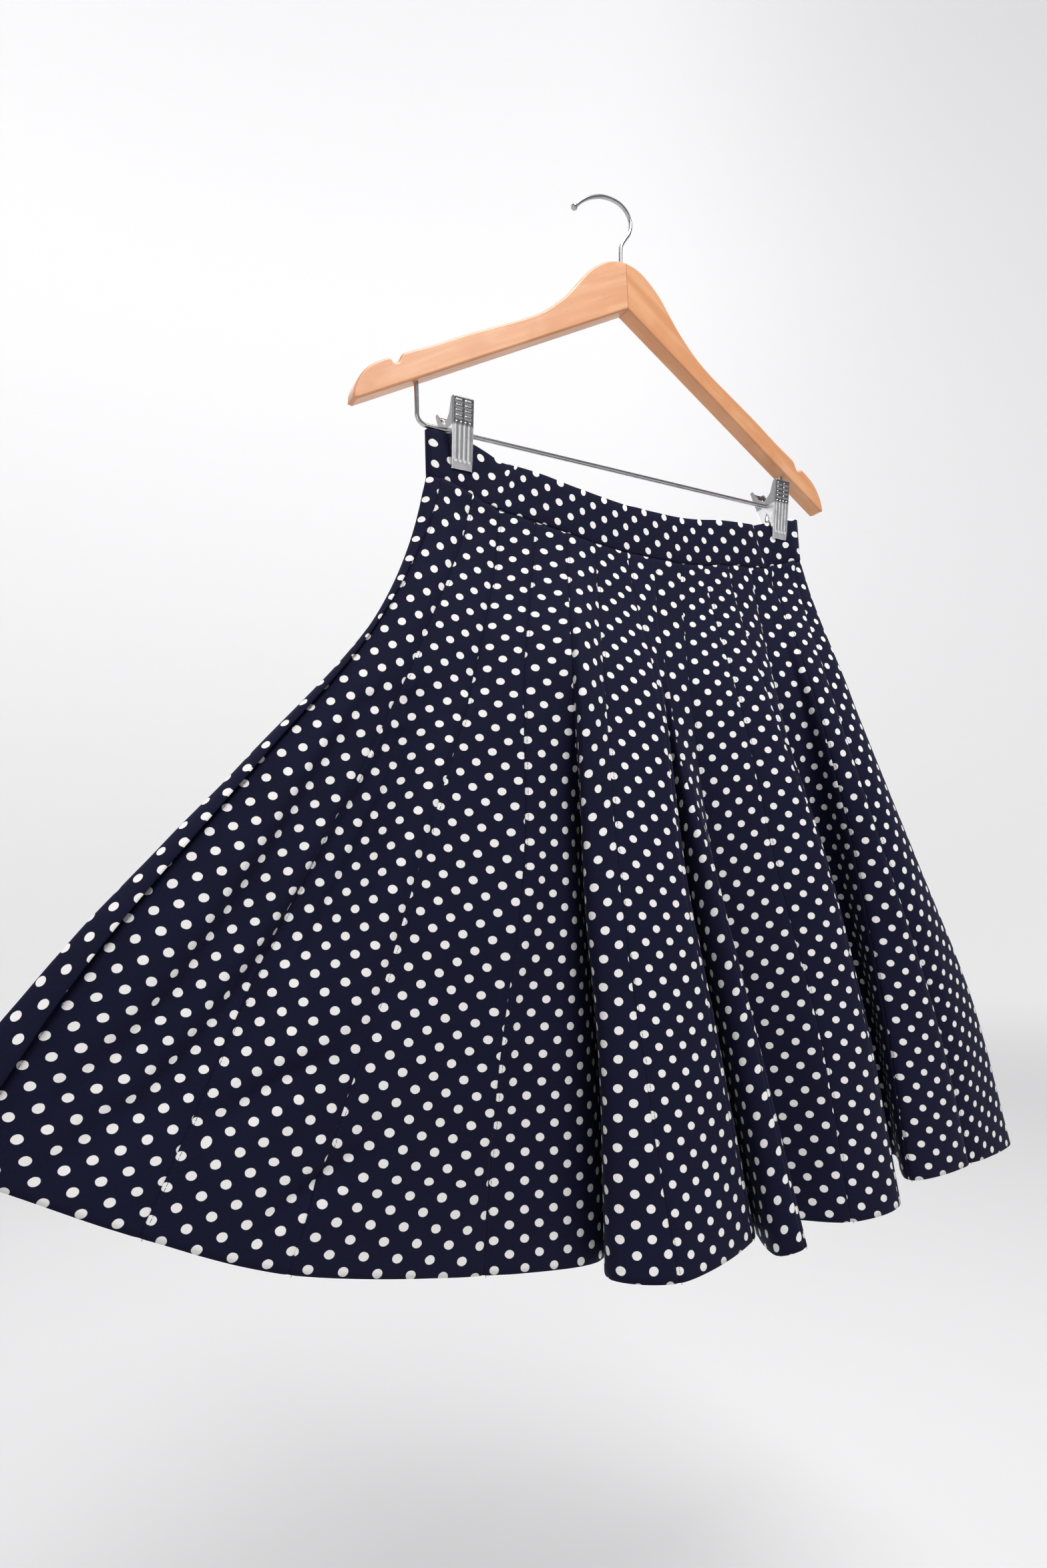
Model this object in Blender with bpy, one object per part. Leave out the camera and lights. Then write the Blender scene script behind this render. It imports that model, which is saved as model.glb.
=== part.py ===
"""Gored skirt of dotted cloth, gripped at the waist by the two clips of a wooden hanger.

Metres, +Z up, front towards -Y. The origin is the hook's bearing point, where it hangs on a nail.
Sizes below are in millimetres. They are taken from the hanger's middle: x = 0 and y = 0 in the
middle of the wood, z = 0 at the underside where the two arms meet. The function place moves them.
"""
import math
from collections import namedtuple

import bmesh
import bpy
import numpy as np
from mathutils import Matrix, Vector

MM = 0.001
GAP = 0.3                       # parting between two pieces that touch
HANG_POINT = (-6.0, 0.0, 94.7)  # inner top of the hook

# Hanger
WOOD_THICK = 13.7
ARM_SWEEP = 0.073               # each arm runs back this much for every millimetre outwards
WOOD_ROUND = 2.6                # rounding of the long edges
WIRE_R = 1.75
WIRE_SIDES = 8
BORE_R = WIRE_R + GAP
HOOK_BALL_R = 2.9
HOOK_BALL_SINK = 0.85           # how much of the ball's radius lies over the end of the wire
HOOK_BORE_DEPTH = 24.0
LEG_X = 174.5                   # where the clip bar's legs enter the arms
LEG_BORE_DEPTH = 14.0
LEG_BORE_FLOOR = 2.0            # air left over the end of a leg
BAR_Z = -126.5
BAR_BEND_R = 6.0
BAR_BEND_STEPS = 5
BAR_LEG_FOOT = 18.0             # the legs' straight stretch ends this far over the bar
BAR_Y = ARM_SWEEP * LEG_X

# Clips: middle of each on the bar, and how far its lower end leans sideways
Clip = namedtuple("Clip", "name x lean")
CLIPS = (Clip("left", -145.0, -1.0), Clip("right", 161.5, 3.0))
CLIP_W = 16.6
CLIP_PLAY = 0.4                 # to each side of the rear jaw inside the front jaw
CLIP_TOP_Z = -106.0
CLIP_LIP_Z = -155.5
SHEET = 1.0                     # thickness of the clips' pressed steel
CLIP_FLANGE = 4.6
CLIP_TOP_Y = -4.3               # outer face of the front jaw, at its top and at its lip
CLIP_LIP_Y = 8.5
EYE_R = 3.1                     # the jaws' rounded eyes on the bar
EYE_FLAT = 1.5                  # half of the straight side of an eye's outline
HOLLOW_LIP = 3.0                # the jaws' hollow stops this far over their lips
SPRING_R = 3.3
SPRING_GROOVE = 0.7
SPRING_TURNS = 5
SPRING_SIDES = 10

# Skirt
WALL = 1.6                      # skirt cloth
BAND_WALL = 2.4                 # folded waistband
BAND_HEIGHT = 37.5
BAND_ROWS = 3
BAND_TOP_Z = BAR_Z - 3.3        # the waistband reaches no higher than this, just under the bar
PINCH_FRONT_Y = 11.1            # front and back waistband between the jaws
PINCH_BACK_Y = 14.3
PINCH_REACH = 11.0              # flat to each side of a clip's middle, and its fading out
PINCH_FADE = 10.0
PINCH_DROP = 0.06               # share of the skirt's length over which it fades out downwards
LEVELS = 12                     # rings from the waist seam to the hem
SEAM_STEPS = 4                  # columns between two front seams, beside a fold, at a side edge
FOLD_STEPS = 3
EDGE_STEPS = 3
BACK_STEPS = 2                  # columns from a back seam to the hollow beside it
BACK_GORES = 14
BACK_REST_Y = 23.0              # the back's seams lie nearest the wall
BACK_BOW = 8.0                  # the back waistband's bow between the clips, and beyond them
END_BOW = 3.6
BACK_OPENS = 0.25               # share of the length over which the back leaves the waist's bow
EDGE_ROUND = 30.0               # how quickly the back leaves the side edges
BACK_FOLD = 9.0                 # how far the back falls forward between two seams
TAUT_X = -190.0                 # left of this the cloth is pulled taut and has no back folds
TAUT_FADE = 60.0

Outline = namedtuple("Outline", "x z")
ARM_TOP = (
    Outline(0.0, 39.6), Outline(8.0, 39.0), Outline(16.0, 36.6), Outline(25.0, 31.2),
    Outline(35.0, 22.6), Outline(44.0, 11.4), Outline(53.0, 0.0), Outline(62.0, -9.2),
    Outline(75.0, -20.4), Outline(90.0, -29.8), Outline(112.0, -41.0), Outline(140.0, -55.4),
    Outline(165.0, -69.4), Outline(182.0, -78.0), Outline(186.6, -80.8), Outline(190.2, -88.0),
    Outline(193.0, -88.4), Outline(195.6, -86.0), Outline(204.0, -90.0), Outline(211.5, -95.8),
    Outline(217.2, -103.6), Outline(221.0, -112.8), Outline(221.8, -119.4),
)
ARM_END = Outline(218.6, -120.2)

HOOK_PATH = (
    Outline(0.0, 18.0), Outline(0.0, 50.0), Outline(1.4, 58.6), Outline(5.4, 65.6),
    Outline(9.8, 72.4), Outline(11.6, 81.4), Outline(8.6, 90.0), Outline(2.2, 95.0),
    Outline(-6.0, 96.45), Outline(-15.0, 95.6), Outline(-23.0, 92.6), Outline(-30.0, 88.6),
    Outline(-36.0, 83.8), Outline(-41.0, 78.6),
)

# Front of the skirt, left to right: seams and the folds between them. Each runs from the waist
# seam to the hem, with its place at a quarter, half and three quarters of the way down.
Line = namedtuple("Line", "name seam waist quarter half low hem")
FRONT = (
    Line("f01", True, (-159, 7.0, -165), (-205, 0), (-288, -6), (-372, -8), (-440, -2, -579)),
    Line("f02", True, (-135, 8, -172.5), (-182, -8), (-239, -13), (-298, -12), (-352, -11, -620)),
    Line("f03", True, (-116, 4, -182), (-147, -15), (-191, -22), (-233, -24), (-276, -16, -650)),
    Line("f04", True, (-90, -1, -188), (-118, -26), (-128, -30), (-146, -22), (-154, -12, -684)),
    Line("f05", True, (-65, -3, -193), (-90, -35), (-83, -24), (-67, -14), (-60, -4, -696)),
    Line("f05_fold", False, (-55, -4, -195), (-82, -44), (-90, -46), (-85, -50), (-89, -58, -687)),
    Line("f06", True, (-40, -4, -197), (-60, -38), (-68, -54), (-63, -64), (-56, -78, -691)),
    Line("f07", True, (-11, -4, -200), (-18, -36), (-13, -52), (-1, -52), (7, -48, -699)),
    Line("f07_fold", False, (2, -4, -200), (-8, -32), (-1, -40), (14, -40), (28, -50, -697)),
    Line("f08", True, (15, -3, -200), (-1, -31), (9, -57), (30, -68), (44, -84, -690)),
    Line("f09", True, (43, -1, -199), (26, -28), (38, -32), (66, -30), (86, -28, -696)),
    Line("f10", True, (69, 1, -196), (69, -33), (84, -44), (110, -50), (124, -52, -698)),
    Line("f11", True, (97, 3, -191), (100, -34), (129, -50), (156, -52), (177, -52, -695)),
    Line("f12", True, (125, 5, -188), (124, -26), (156, -22), (198, -10), (214, -6, -684)),
    Line("f12_fold", False, (139, 7, -186), (138, -26), (168, -22), (212, -12), (232, -8, -681)),
    Line("f13", True, (152, 9, -182), (150, -31), (174, -37), (190, -41), (203, -41, -685)),
    Line("f14", True, (180, 8.4, -173), (174, -30), (196, -52), (240, -52), (275, -46, -684)),
)
RIGHT_EDGE = Line("right", False,
                  (191, 12.7, -170), (205, -18), (247, -32), (306, -32), (345, -28, -684))
LEFT_EDGE = Line("left", False,
                 (-168.5, 12.7, -165), (-209, 8), (-294, 5), (-384, 3), (-465, 4, -570))


def place(x, y, z):
    """Millimetres from the hanger's middle to metres from the hook's bearing point."""
    return Vector((x - HANG_POINT[0], y - HANG_POINT[1], z - HANG_POINT[2])) * MM


def material(name, color, roughness, metallic=0.0):
    """One Principled material for each kind of sub-part."""
    mat = bpy.data.materials.get(name)
    if mat is None:
        mat = bpy.data.materials.new(name)
        mat.use_nodes = True
        shader = mat.node_tree.nodes["Principled BSDF"]
        shader.inputs["Base Color"].default_value = (*color, 1.0)
        shader.inputs["Roughness"].default_value = roughness
        shader.inputs["Metallic"].default_value = metallic
    return mat


def navy_cloth(name):
    return material(name, (0.012, 0.014, 0.045), 0.85)


def steel(name):
    return material(name, (0.62, 0.62, 0.63), 0.2, 1.0)


def add_object(name, bm, mat, smooth_angle=35.0):
    """Turns a bmesh into a named object and shades its round stretches smooth."""
    bmesh.ops.recalc_face_normals(bm, faces=bm.faces[:])
    mesh = bpy.data.meshes.new(name)
    bm.to_mesh(mesh)
    bm.free()
    mesh.shade_smooth()
    mesh.set_sharp_from_angle(angle=math.radians(smooth_angle))
    mesh.materials.append(mat)
    obj = bpy.data.objects.new(name, mesh)
    bpy.context.scene.collection.objects.link(obj)
    return obj


def catmull(p0, p1, p2, p3, u):
    """Point between p1 and p2 on a centripetal Catmull-Rom curve."""
    def knot(start, a, b):
        return start + max(np.linalg.norm(b - a), 1e-6) ** 0.5
    t1 = knot(0.0, p0, p1)
    t2 = knot(t1, p1, p2)
    t3 = knot(t2, p2, p3)
    t = t1 + u * (t2 - t1)
    a1 = (t1 - t) / t1 * p0 + t / t1 * p1
    a2 = (t2 - t) / (t2 - t1) * p1 + (t - t1) / (t2 - t1) * p2
    a3 = (t3 - t) / (t3 - t2) * p2 + (t - t2) / (t3 - t2) * p3
    b1 = (t2 - t) / t2 * a1 + t / t2 * a2
    b2 = (t3 - t) / (t3 - t1) * a2 + (t - t1) / (t3 - t1) * a3
    return (t2 - t) / (t2 - t1) * b1 + (t - t1) / (t2 - t1) * b2


def smooth_path(points, steps):
    """Open smooth curve through all points."""
    pts = [np.array(p, float) for p in points]
    pts = [2 * pts[0] - pts[1]] + pts + [2 * pts[-1] - pts[-2]]
    path = []
    for i in range(1, len(pts) - 2):
        path += [catmull(*pts[i - 1:i + 3], k / steps) for k in range(steps)]
    return path + [pts[-2]]


def line_at(line, t):
    """A seam's or fold's point at t, from 0 at the waist seam to 1 at the hem."""
    drop = line.hem[2] - line.waist[2]
    stations = [line.waist]
    for k, spot in enumerate((line.quarter, line.half, line.low), 1):
        stations.append((*spot, line.waist[2] + drop * k / 4))
    stations.append(line.hem)
    pts = [np.array(p, float) for p in stations]
    above = pts[0] * (1, 1, 2) - pts[1] * (0, 0, 1)
    pts = [above] + pts + [2 * pts[-1] - pts[-2]]
    k = min(int(t * 4), 3)
    return catmull(*pts[k:k + 4], t * 4 - k)


def pinch(x):
    """1 where a clip presses the waistband flat, 0 away from the clips."""
    near = min(abs(x - clip.x) for clip in CLIPS)
    return min(1.0, max(0.0, (PINCH_REACH + PINCH_FADE - near) / PINCH_FADE))


def back_waist_y(x):
    """The back waistband bows away between the clips and opens a little beyond them."""
    first, last = (clip.x for clip in CLIPS)
    inner = (x - first) / (last - first)
    if 0.0 < inner < 1.0:
        return PINCH_BACK_Y + BACK_BOW * math.sin(math.pi * inner)
    return PINCH_BACK_Y + END_BOW


def back_lines(t):
    """Seams and the hollows between them at t, right to left, drawn between the two side edges."""
    left = line_at(LEFT_EDGE, t)
    right = line_at(RIGHT_EDGE, t)
    front = sorted((tuple(line_at(line, t)) for line in FRONT), key=lambda p: p[0])
    front_x = [p[0] for p in front]
    front_z = [p[2] for p in front]
    count = 2 * BACK_GORES
    points = []
    for k in range(1, count):
        x = right[0] + (left[0] - right[0]) * k / count
        z = float(np.interp(x, front_x, front_z))
        bend_right = (BACK_REST_Y - right[1]) * math.exp(-(right[0] - x) / EDGE_ROUND)
        bend_left = (BACK_REST_Y - left[1]) * math.exp(-(x - left[0]) / EDGE_ROUND)
        free_y = BACK_REST_Y - bend_right - bend_left
        opened = min(1.0, t / BACK_OPENS)
        y = back_waist_y(x) * (1 - opened) + free_y * opened
        if k % 2 == 0:
            slack = min(1.0, max(0.0, (x - TAUT_X) / TAUT_FADE))
            y -= BACK_FOLD * slack * t
        points.append(np.array((x, y, z)))
    return points


def ring_steps():
    """For each stretch of the ring, its number of columns."""
    front = []
    for i, line in enumerate(FRONT[:-1]):
        plain = line.seam and FRONT[i + 1].seam
        front.append(SEAM_STEPS if plain else FOLD_STEPS)
    sides = [EDGE_STEPS, EDGE_STEPS]
    back = [BACK_STEPS] * (2 * BACK_GORES - 2)
    return front + sides + back + sides


def ring_at(t):
    """The skirt's whole outline at t as points on one smooth closed curve, from the first seam."""
    knots = [line_at(line, t) for line in FRONT]
    knots += [line_at(RIGHT_EDGE, t)] + back_lines(t) + [line_at(LEFT_EDGE, t)]
    n = len(knots)
    points = []
    for i, steps in enumerate(ring_steps()):
        around = [knots[(i + k) % n] for k in (-1, 0, 1, 2)]
        points += [catmull(*around, k / steps) for k in range(steps)]
    hold = max(0.0, 1.0 - t / PINCH_DROP)
    on_front = sum(ring_steps()[:len(FRONT)])
    for i, p in enumerate(points):
        flat_y = PINCH_FRONT_Y if i <= on_front or i > len(points) - EDGE_STEPS else PINCH_BACK_Y
        share = pinch(p[0]) * hold
        p[1] += (flat_y - p[1]) * share
    return np.array(points)


def knot_columns():
    """Column at which each of the ring's knots lies."""
    return [0] + list(np.cumsum(ring_steps())[:-1])


def surface_normals(grid, closed):
    """Outward unit normals of a grid of rows of points; rows go down, columns left to right."""
    if closed:
        across = np.roll(grid, -1, axis=1) - np.roll(grid, 1, axis=1)
    else:
        across = np.gradient(grid, axis=1)
    down = np.gradient(grid, axis=0)
    normals = np.cross(down, across)
    return normals / np.linalg.norm(normals, axis=2)[..., None]


def level_row(normals, row):
    """Turns one row's normals level, so that both walls meet squarely along the waist seam."""
    normals[row, :, 2] = 0.0
    normals[row] /= np.linalg.norm(normals[row], axis=1)[:, None]
    return normals


def wall_object(name, grid, normals, thick, mat):
    """A closed cloth wall on both sides of a grid of points, parted from its side neighbours."""
    grid = grid.copy()
    for edge, inner in ((0, 1), (-1, -2)):
        toward = grid[:, inner] - grid[:, edge]
        grid[:, edge] += toward / np.linalg.norm(toward, axis=1)[:, None] * GAP / 2
    rows, columns = grid.shape[:2]
    bm = bmesh.new()
    sides = []
    for sign in (0.5, -0.5):
        shifted = grid + normals * thick * sign
        sides.append([[bm.verts.new(place(*p)) for p in row] for row in shifted])
    outer, inner = sides
    for r in range(rows - 1):
        for c in range(columns - 1):
            bm.faces.new((outer[r][c], outer[r + 1][c], outer[r + 1][c + 1], outer[r][c + 1]))
            bm.faces.new((inner[r][c], inner[r][c + 1], inner[r + 1][c + 1], inner[r + 1][c]))
    for c in (0, columns - 1):
        for r in range(rows - 1):
            bm.faces.new((outer[r][c], outer[r + 1][c], inner[r + 1][c]))
            bm.faces.new((outer[r][c], inner[r + 1][c], inner[r][c]))
    for r in (0, rows - 1):
        for c in range(columns - 1):
            bm.faces.new((outer[r][c], outer[r][c + 1], inner[r][c + 1], inner[r][c]))
    return add_object(name, bm, mat, 50.0)


def make_gores():
    """Each gore is one wall between two seams of the ring."""
    mat = navy_cloth("skirt_cloth")
    grid = np.array([ring_at(k / LEVELS) for k in range(LEVELS + 1)])
    normals = level_row(surface_normals(grid, True), 0)
    total = grid.shape[1]
    columns = knot_columns()
    seams = [columns[i] for i, line in enumerate(FRONT) if line.seam]
    first_back = len(FRONT) + 1
    seams += [columns[first_back + k] for k in range(0, 2 * BACK_GORES - 1, 2)]
    front_count = sum(line.seam for line in FRONT) - 1
    names = [f"gore_front_{i + 1:02d}" for i in range(front_count)] + ["gore_side_right"]
    names += [f"gore_back_{i + 1:02d}" for i in range(BACK_GORES - 1)] + ["gore_side_left"]
    for name, start, end in zip(names, seams, seams[1:] + [seams[0] + total]):
        picked = [c % total for c in range(start, end + 1)]
        wall_object(name, grid[:, picked], normals[:, picked], WALL, mat)


def make_waistbands():
    """Front and back waistband stand on the waist seam and meet at the side edges."""
    mat = navy_cloth("waistband_cloth")
    seam = ring_at(0.0)
    total = len(seam)
    right = sum(ring_steps()[:len(FRONT)])
    left = total - ring_steps()[-1]
    spans = (("waistband_front", range(left - total, right + 1)),
             ("waistband_back", range(right, left + 1)))
    run = np.roll(seam, -1, axis=0) - np.roll(seam, 1, axis=0)
    run[:, 1] = 0.0
    rise = np.column_stack([-run[:, 2], run[:, 1], run[:, 0]])
    rise *= np.sign(rise[:, 2])[:, None]
    for end in (right, left):
        rise[end] = (0.0, 0.0, 1.0)
    rise /= np.linalg.norm(rise, axis=1)[:, None]
    room = (BAND_TOP_Z - GAP - seam[:, 2]) / rise[:, 2]
    height = np.minimum(BAND_HEIGHT, room)[:, None]
    grid = np.array([seam + rise * (GAP + height * k / BAND_ROWS) for k in range(BAND_ROWS, -1, -1)])
    for row in grid:
        for i, p in enumerate(row):
            back = right < i < left
            flat_y = PINCH_BACK_Y if back else PINCH_FRONT_Y
            p[1] += (flat_y - p[1]) * (pinch(p[0]) if i not in (right, left) else 0.0)
    normals = level_row(surface_normals(grid, True), -1)
    for name, span in spans:
        picked = [c % total for c in span]
        wall_object(name, grid[:, picked], normals[:, picked], BAND_WALL, mat)


def extrude_profile(profile, half_width, to_world):
    """Closed solid from a flat outline, half_width to each side; to_world places its points."""
    bm = bmesh.new()
    near = [bm.verts.new(to_world(a, b, -half_width)) for a, b in profile]
    far = [bm.verts.new(to_world(a, b, half_width)) for a, b in profile]
    bm.faces.new(near)
    bm.faces.new(far[::-1])
    n = len(profile)
    for i in range(n):
        j = (i + 1) % n
        bm.faces.new((near[j], near[i], far[i], far[j]))
    return bm


def cutter(name, bm):
    """A hidden shape for a Boolean cut."""
    obj = add_object(name, bm, steel("cutter"))
    obj.hide_render = True
    obj.display_type = "WIRE"
    return obj


def cut(obj, tool):
    modifier = obj.modifiers.new("cut_" + tool.name, "BOOLEAN")
    modifier.operation = "DIFFERENCE"
    modifier.object = tool


def rod(name, start, end, sides=16):
    """A hidden straight rod between two places, which drills a bore for the wire."""
    bm = bmesh.new()
    a, b = place(*start), place(*end)
    turn = (b - a).to_track_quat("Z", "Y").to_matrix().to_4x4()
    matrix = Matrix.Translation((a + b) / 2) @ turn
    bmesh.ops.create_cone(bm, cap_ends=True, segments=sides, radius1=BORE_R * MM,
                          radius2=BORE_R * MM, depth=(b - a).length, matrix=matrix)
    return cutter(name, bm)


def make_arms():
    """Two wooden arms, mitred in the middle, drilled for the hook and the clip bar's legs."""
    mat = material("beech", (0.62, 0.33, 0.15), 0.45)
    outline = [(GAP / 2, 0.0)] + [(max(p.x, GAP / 2), p.z) for p in ARM_TOP] + [tuple(ARM_END)]
    hook_hole = rod("drill_hook", (0, 0, ARM_TOP[0].z - HOOK_BORE_DEPTH), (0, 0, HOOK_PATH[1].z))
    for name, side in (("hanger_arm_left", -1), ("hanger_arm_right", 1)):
        def to_world(x, z, depth):
            return place(side * x, ARM_SWEEP * x + depth, z)
        bm = extrude_profile(outline, WOOD_THICK / 2, to_world)
        joint_x = place(side * GAP / 2, 0, 0).x
        weight = bm.edges.layers.float.new("bevel_weight_edge")
        for edge in bm.edges:
            across = abs(edge.verts[0].co.y - edge.verts[1].co.y) > WOOD_THICK * MM * 0.9
            at_joint = all(abs(v.co.x - joint_x) < 1e-5 for v in edge.verts)
            edge[weight] = 0.0 if across or at_joint else 1.0
        arm = add_object(name, bm, mat, 40.0)
        bevel = arm.modifiers.new("rounded_edges", "BEVEL")
        bevel.limit_method = "WEIGHT"
        bevel.width = WOOD_ROUND * MM
        bevel.segments = 2
        cut(arm, hook_hole)
        under = ARM_END.z * LEG_X / ARM_END.x
        leg_hole = rod(f"drill_{name}", (side * LEG_X, BAR_Y, BAR_Z),
                       (side * LEG_X, BAR_Y, under + LEG_BORE_DEPTH))
        cut(arm, leg_hole)


def tube(name, path, radii, mat):
    """A closed round wire along a path in one upright plane, with a radius at each point."""
    bm = bmesh.new()
    rings = []
    for i, p in enumerate(path):
        before = np.array(path[max(i - 1, 0)])
        after = np.array(path[min(i + 1, len(path) - 1)])
        along = (after - before) / np.linalg.norm(after - before)
        side = np.array((-along[2], 0.0, along[0]))
        ring = []
        for k in range(WIRE_SIDES):
            a = 2 * math.pi * k / WIRE_SIDES
            spot = np.array(p) + radii[i] * (side * math.cos(a) + np.array((0, 1, 0)) * math.sin(a))
            ring.append(bm.verts.new(place(*spot)))
        rings.append(ring)
    for a, b in zip(rings, rings[1:]):
        for k in range(WIRE_SIDES):
            j = (k + 1) % WIRE_SIDES
            bm.faces.new((a[k], a[j], b[j], b[k]))
    bm.faces.new(rings[0][::-1])
    bm.faces.new(rings[-1])
    return add_object(name, bm, mat)


def make_hook():
    """The hook's wire, from its bore in the wood round to the small ball at its tip."""
    path = smooth_path([(p.x, 0.0, p.z) for p in HOOK_PATH], 3)
    radii = [WIRE_R] * len(path)
    tip, before = np.array(path[-1]), np.array(path[-2])
    along = (tip - before) / np.linalg.norm(tip - before)
    for k in range(1, WIRE_SIDES):
        a = math.pi * k / WIRE_SIDES
        path.append(tip + along * HOOK_BALL_R * (HOOK_BALL_SINK - math.cos(a)))
        radii.append(HOOK_BALL_R * math.sin(a))
    tube("hook", path, radii, steel("chrome"))


def make_clip_bar():
    """The wire that carries the clips: down from one arm, across and up into the other."""
    leg_top = ARM_END.z * LEG_X / ARM_END.x + LEG_BORE_DEPTH - LEG_BORE_FLOOR
    right = [(LEG_X, leg_top), (LEG_X, BAR_Z + BAR_LEG_FOOT)]
    for k in range(BAR_BEND_STEPS + 1):
        a = math.radians(90 * k / BAR_BEND_STEPS)
        bend_x = LEG_X - BAR_BEND_R * (1 - math.cos(a))
        right.append((bend_x, BAR_Z + BAR_BEND_R * (1 - math.sin(a))))
    half = [(x, BAR_Y, z) for x, z in right]
    path = half + [(-x, y, z) for x, y, z in reversed(half)]
    tube("clip_bar", path, [WIRE_R] * len(path), steel("chrome"))


def plate_y(z):
    """Outer face of the front jaw, which leans in towards its lip."""
    share = (CLIP_TOP_Z - z) / (CLIP_TOP_Z - CLIP_LIP_Z)
    return CLIP_TOP_Y + (CLIP_LIP_Y - CLIP_TOP_Y) * share


def jaw_outline():
    """Side view of the front jaw: plate, lip, eye on the bar and the slope back up to the top."""
    lip_in = CLIP_LIP_Y + SHEET
    top_in = CLIP_TOP_Y + CLIP_FLANGE
    shoulder_z = BAR_Z + 2 * EYE_R + HOLLOW_LIP
    return [(CLIP_TOP_Y, CLIP_TOP_Z), (CLIP_LIP_Y, CLIP_LIP_Z), (lip_in, CLIP_LIP_Z),
            (lip_in, BAR_Z - EYE_R), (BAR_Y + EYE_FLAT, BAR_Z - EYE_R),
            (BAR_Y + EYE_R, BAR_Z - EYE_FLAT), (BAR_Y + EYE_R, BAR_Z + EYE_FLAT),
            (BAR_Y + EYE_FLAT, BAR_Z + EYE_R), (top_in + CLIP_FLANGE, shoulder_z),
            (top_in, CLIP_TOP_Z - SHEET), (top_in - SHEET, CLIP_TOP_Z)]


def hollow_outline():
    """Side view of the space inside a jaw, open towards the other jaw and at the top."""
    above = CLIP_TOP_Z + SHEET
    floor = CLIP_LIP_Z + HOLLOW_LIP
    far_y = BAR_Y + CLIP_W / 2
    return [(plate_y(above) + SHEET, above), (plate_y(floor) + SHEET, floor),
            (far_y, floor), (far_y, above)]


def make_clips():
    """Each clip: a front and a rear jaw of pressed steel on the bar, and the coil spring between."""
    mat = steel("pressed_steel")
    rear_w = CLIP_W - 2 * (SHEET + CLIP_PLAY)
    for clip in CLIPS:
        drill = rod(f"drill_clip_{clip.name}", (clip.x - CLIP_W, BAR_Y, BAR_Z),
                    (clip.x + CLIP_W, BAR_Y, BAR_Z))
        for which, flip, width in (("front", 1, CLIP_W), ("rear", -1, rear_w)):
            def to_world(y, z, across):
                leaned = clip.x + across + clip.lean * (BAR_Z - z) / (BAR_Z - CLIP_LIP_Z)
                return place(leaned, BAR_Y + flip * (y - BAR_Y), z)
            jaw = add_object(f"clip_{clip.name}_{which}_jaw",
                             extrude_profile(jaw_outline(), width / 2, to_world), mat)
            hollow = cutter(f"hollow_{clip.name}_{which}",
                            extrude_profile(hollow_outline(), width / 2 - SHEET, to_world))
            cut(jaw, hollow)
            cut(jaw, drill)
        make_spring(clip, rear_w / 2 - SHEET - CLIP_PLAY)


def make_spring(clip, half):
    """Coil spring on the bar, as a turned sleeve with a groove between its turns."""
    steps = 2 * SPRING_TURNS
    profile = [(half, BORE_R), (-half, BORE_R)]
    for k in range(steps + 1):
        radius = SPRING_R if k % 2 else SPRING_R - SPRING_GROOVE
        profile.append((-half + 2 * half * k / steps, radius))
    bm = bmesh.new()
    rings = []
    for x, radius in profile:
        ring = []
        for k in range(SPRING_SIDES):
            a = 2 * math.pi * k / SPRING_SIDES
            ring.append(bm.verts.new(place(clip.x + x, BAR_Y + radius * math.cos(a),
                                           BAR_Z + radius * math.sin(a))))
        rings.append(ring)
    for a, b in zip(rings, rings[1:] + rings[:1]):
        for k in range(SPRING_SIDES):
            j = (k + 1) % SPRING_SIDES
            bm.faces.new((a[k], a[j], b[j], b[k]))
    add_object(f"clip_{clip.name}_spring", bm, steel("spring_steel"))


def main():
    for obj in list(bpy.context.scene.objects):
        bpy.data.objects.remove(obj, do_unlink=True)
    make_arms()
    make_hook()
    make_clip_bar()
    make_clips()
    make_waistbands()
    make_gores()


main()
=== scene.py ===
"""Looks of the gored, dotted skirt and its wooden clip hanger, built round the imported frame.

Lengths in the tables are millimetres from the middle of the hanger, as a maker would measure them.
The function to_world moves them to the frame's origin, the hook's bearing point, and to metres.
"""

import logging
import math
import random
from dataclasses import dataclass
from enum import Enum
from typing import Iterable, Sequence

import bpy
import numpy as np
from mathutils import Matrix, Vector, noise


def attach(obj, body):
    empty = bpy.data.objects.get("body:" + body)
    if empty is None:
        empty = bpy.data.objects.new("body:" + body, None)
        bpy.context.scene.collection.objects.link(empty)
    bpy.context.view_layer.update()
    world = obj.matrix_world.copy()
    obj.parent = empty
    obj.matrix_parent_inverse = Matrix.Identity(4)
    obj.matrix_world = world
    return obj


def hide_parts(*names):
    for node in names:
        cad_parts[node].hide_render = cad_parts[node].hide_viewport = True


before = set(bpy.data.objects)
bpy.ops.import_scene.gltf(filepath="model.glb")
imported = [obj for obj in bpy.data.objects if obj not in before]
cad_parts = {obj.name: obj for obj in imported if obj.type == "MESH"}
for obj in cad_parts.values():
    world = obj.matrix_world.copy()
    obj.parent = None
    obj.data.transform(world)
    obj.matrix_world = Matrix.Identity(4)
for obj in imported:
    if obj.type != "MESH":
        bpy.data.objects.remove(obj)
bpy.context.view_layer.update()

Colour = tuple[float, float, float, float]
Place = tuple[float, float, float]
Socket = bpy.types.NodeSocket

LOG = logging.getLogger("skirt")
MM = 0.001
HANG_POINT = np.array((-6.0, 0.0, 94.7))
BODY = "root"


class Side(Enum):
    """Left or right as the photo shows it, with the sign of X."""
    LEFT = -1
    RIGHT = 1


class Jaw(Enum):
    """A clip's front or rear jaw, with the way that its plate faces along Y."""
    FRONT = 1
    REAR = -1


class Slot(Enum):
    """The record's material slots."""
    SKIRT = "skirt_cloth"
    BAND = "waistband_cloth"
    BEECH = "beech"
    WIRE = "chrome_wire"
    PRESSED = "pressed_steel"
    SPRING = "spring_steel"


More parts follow.
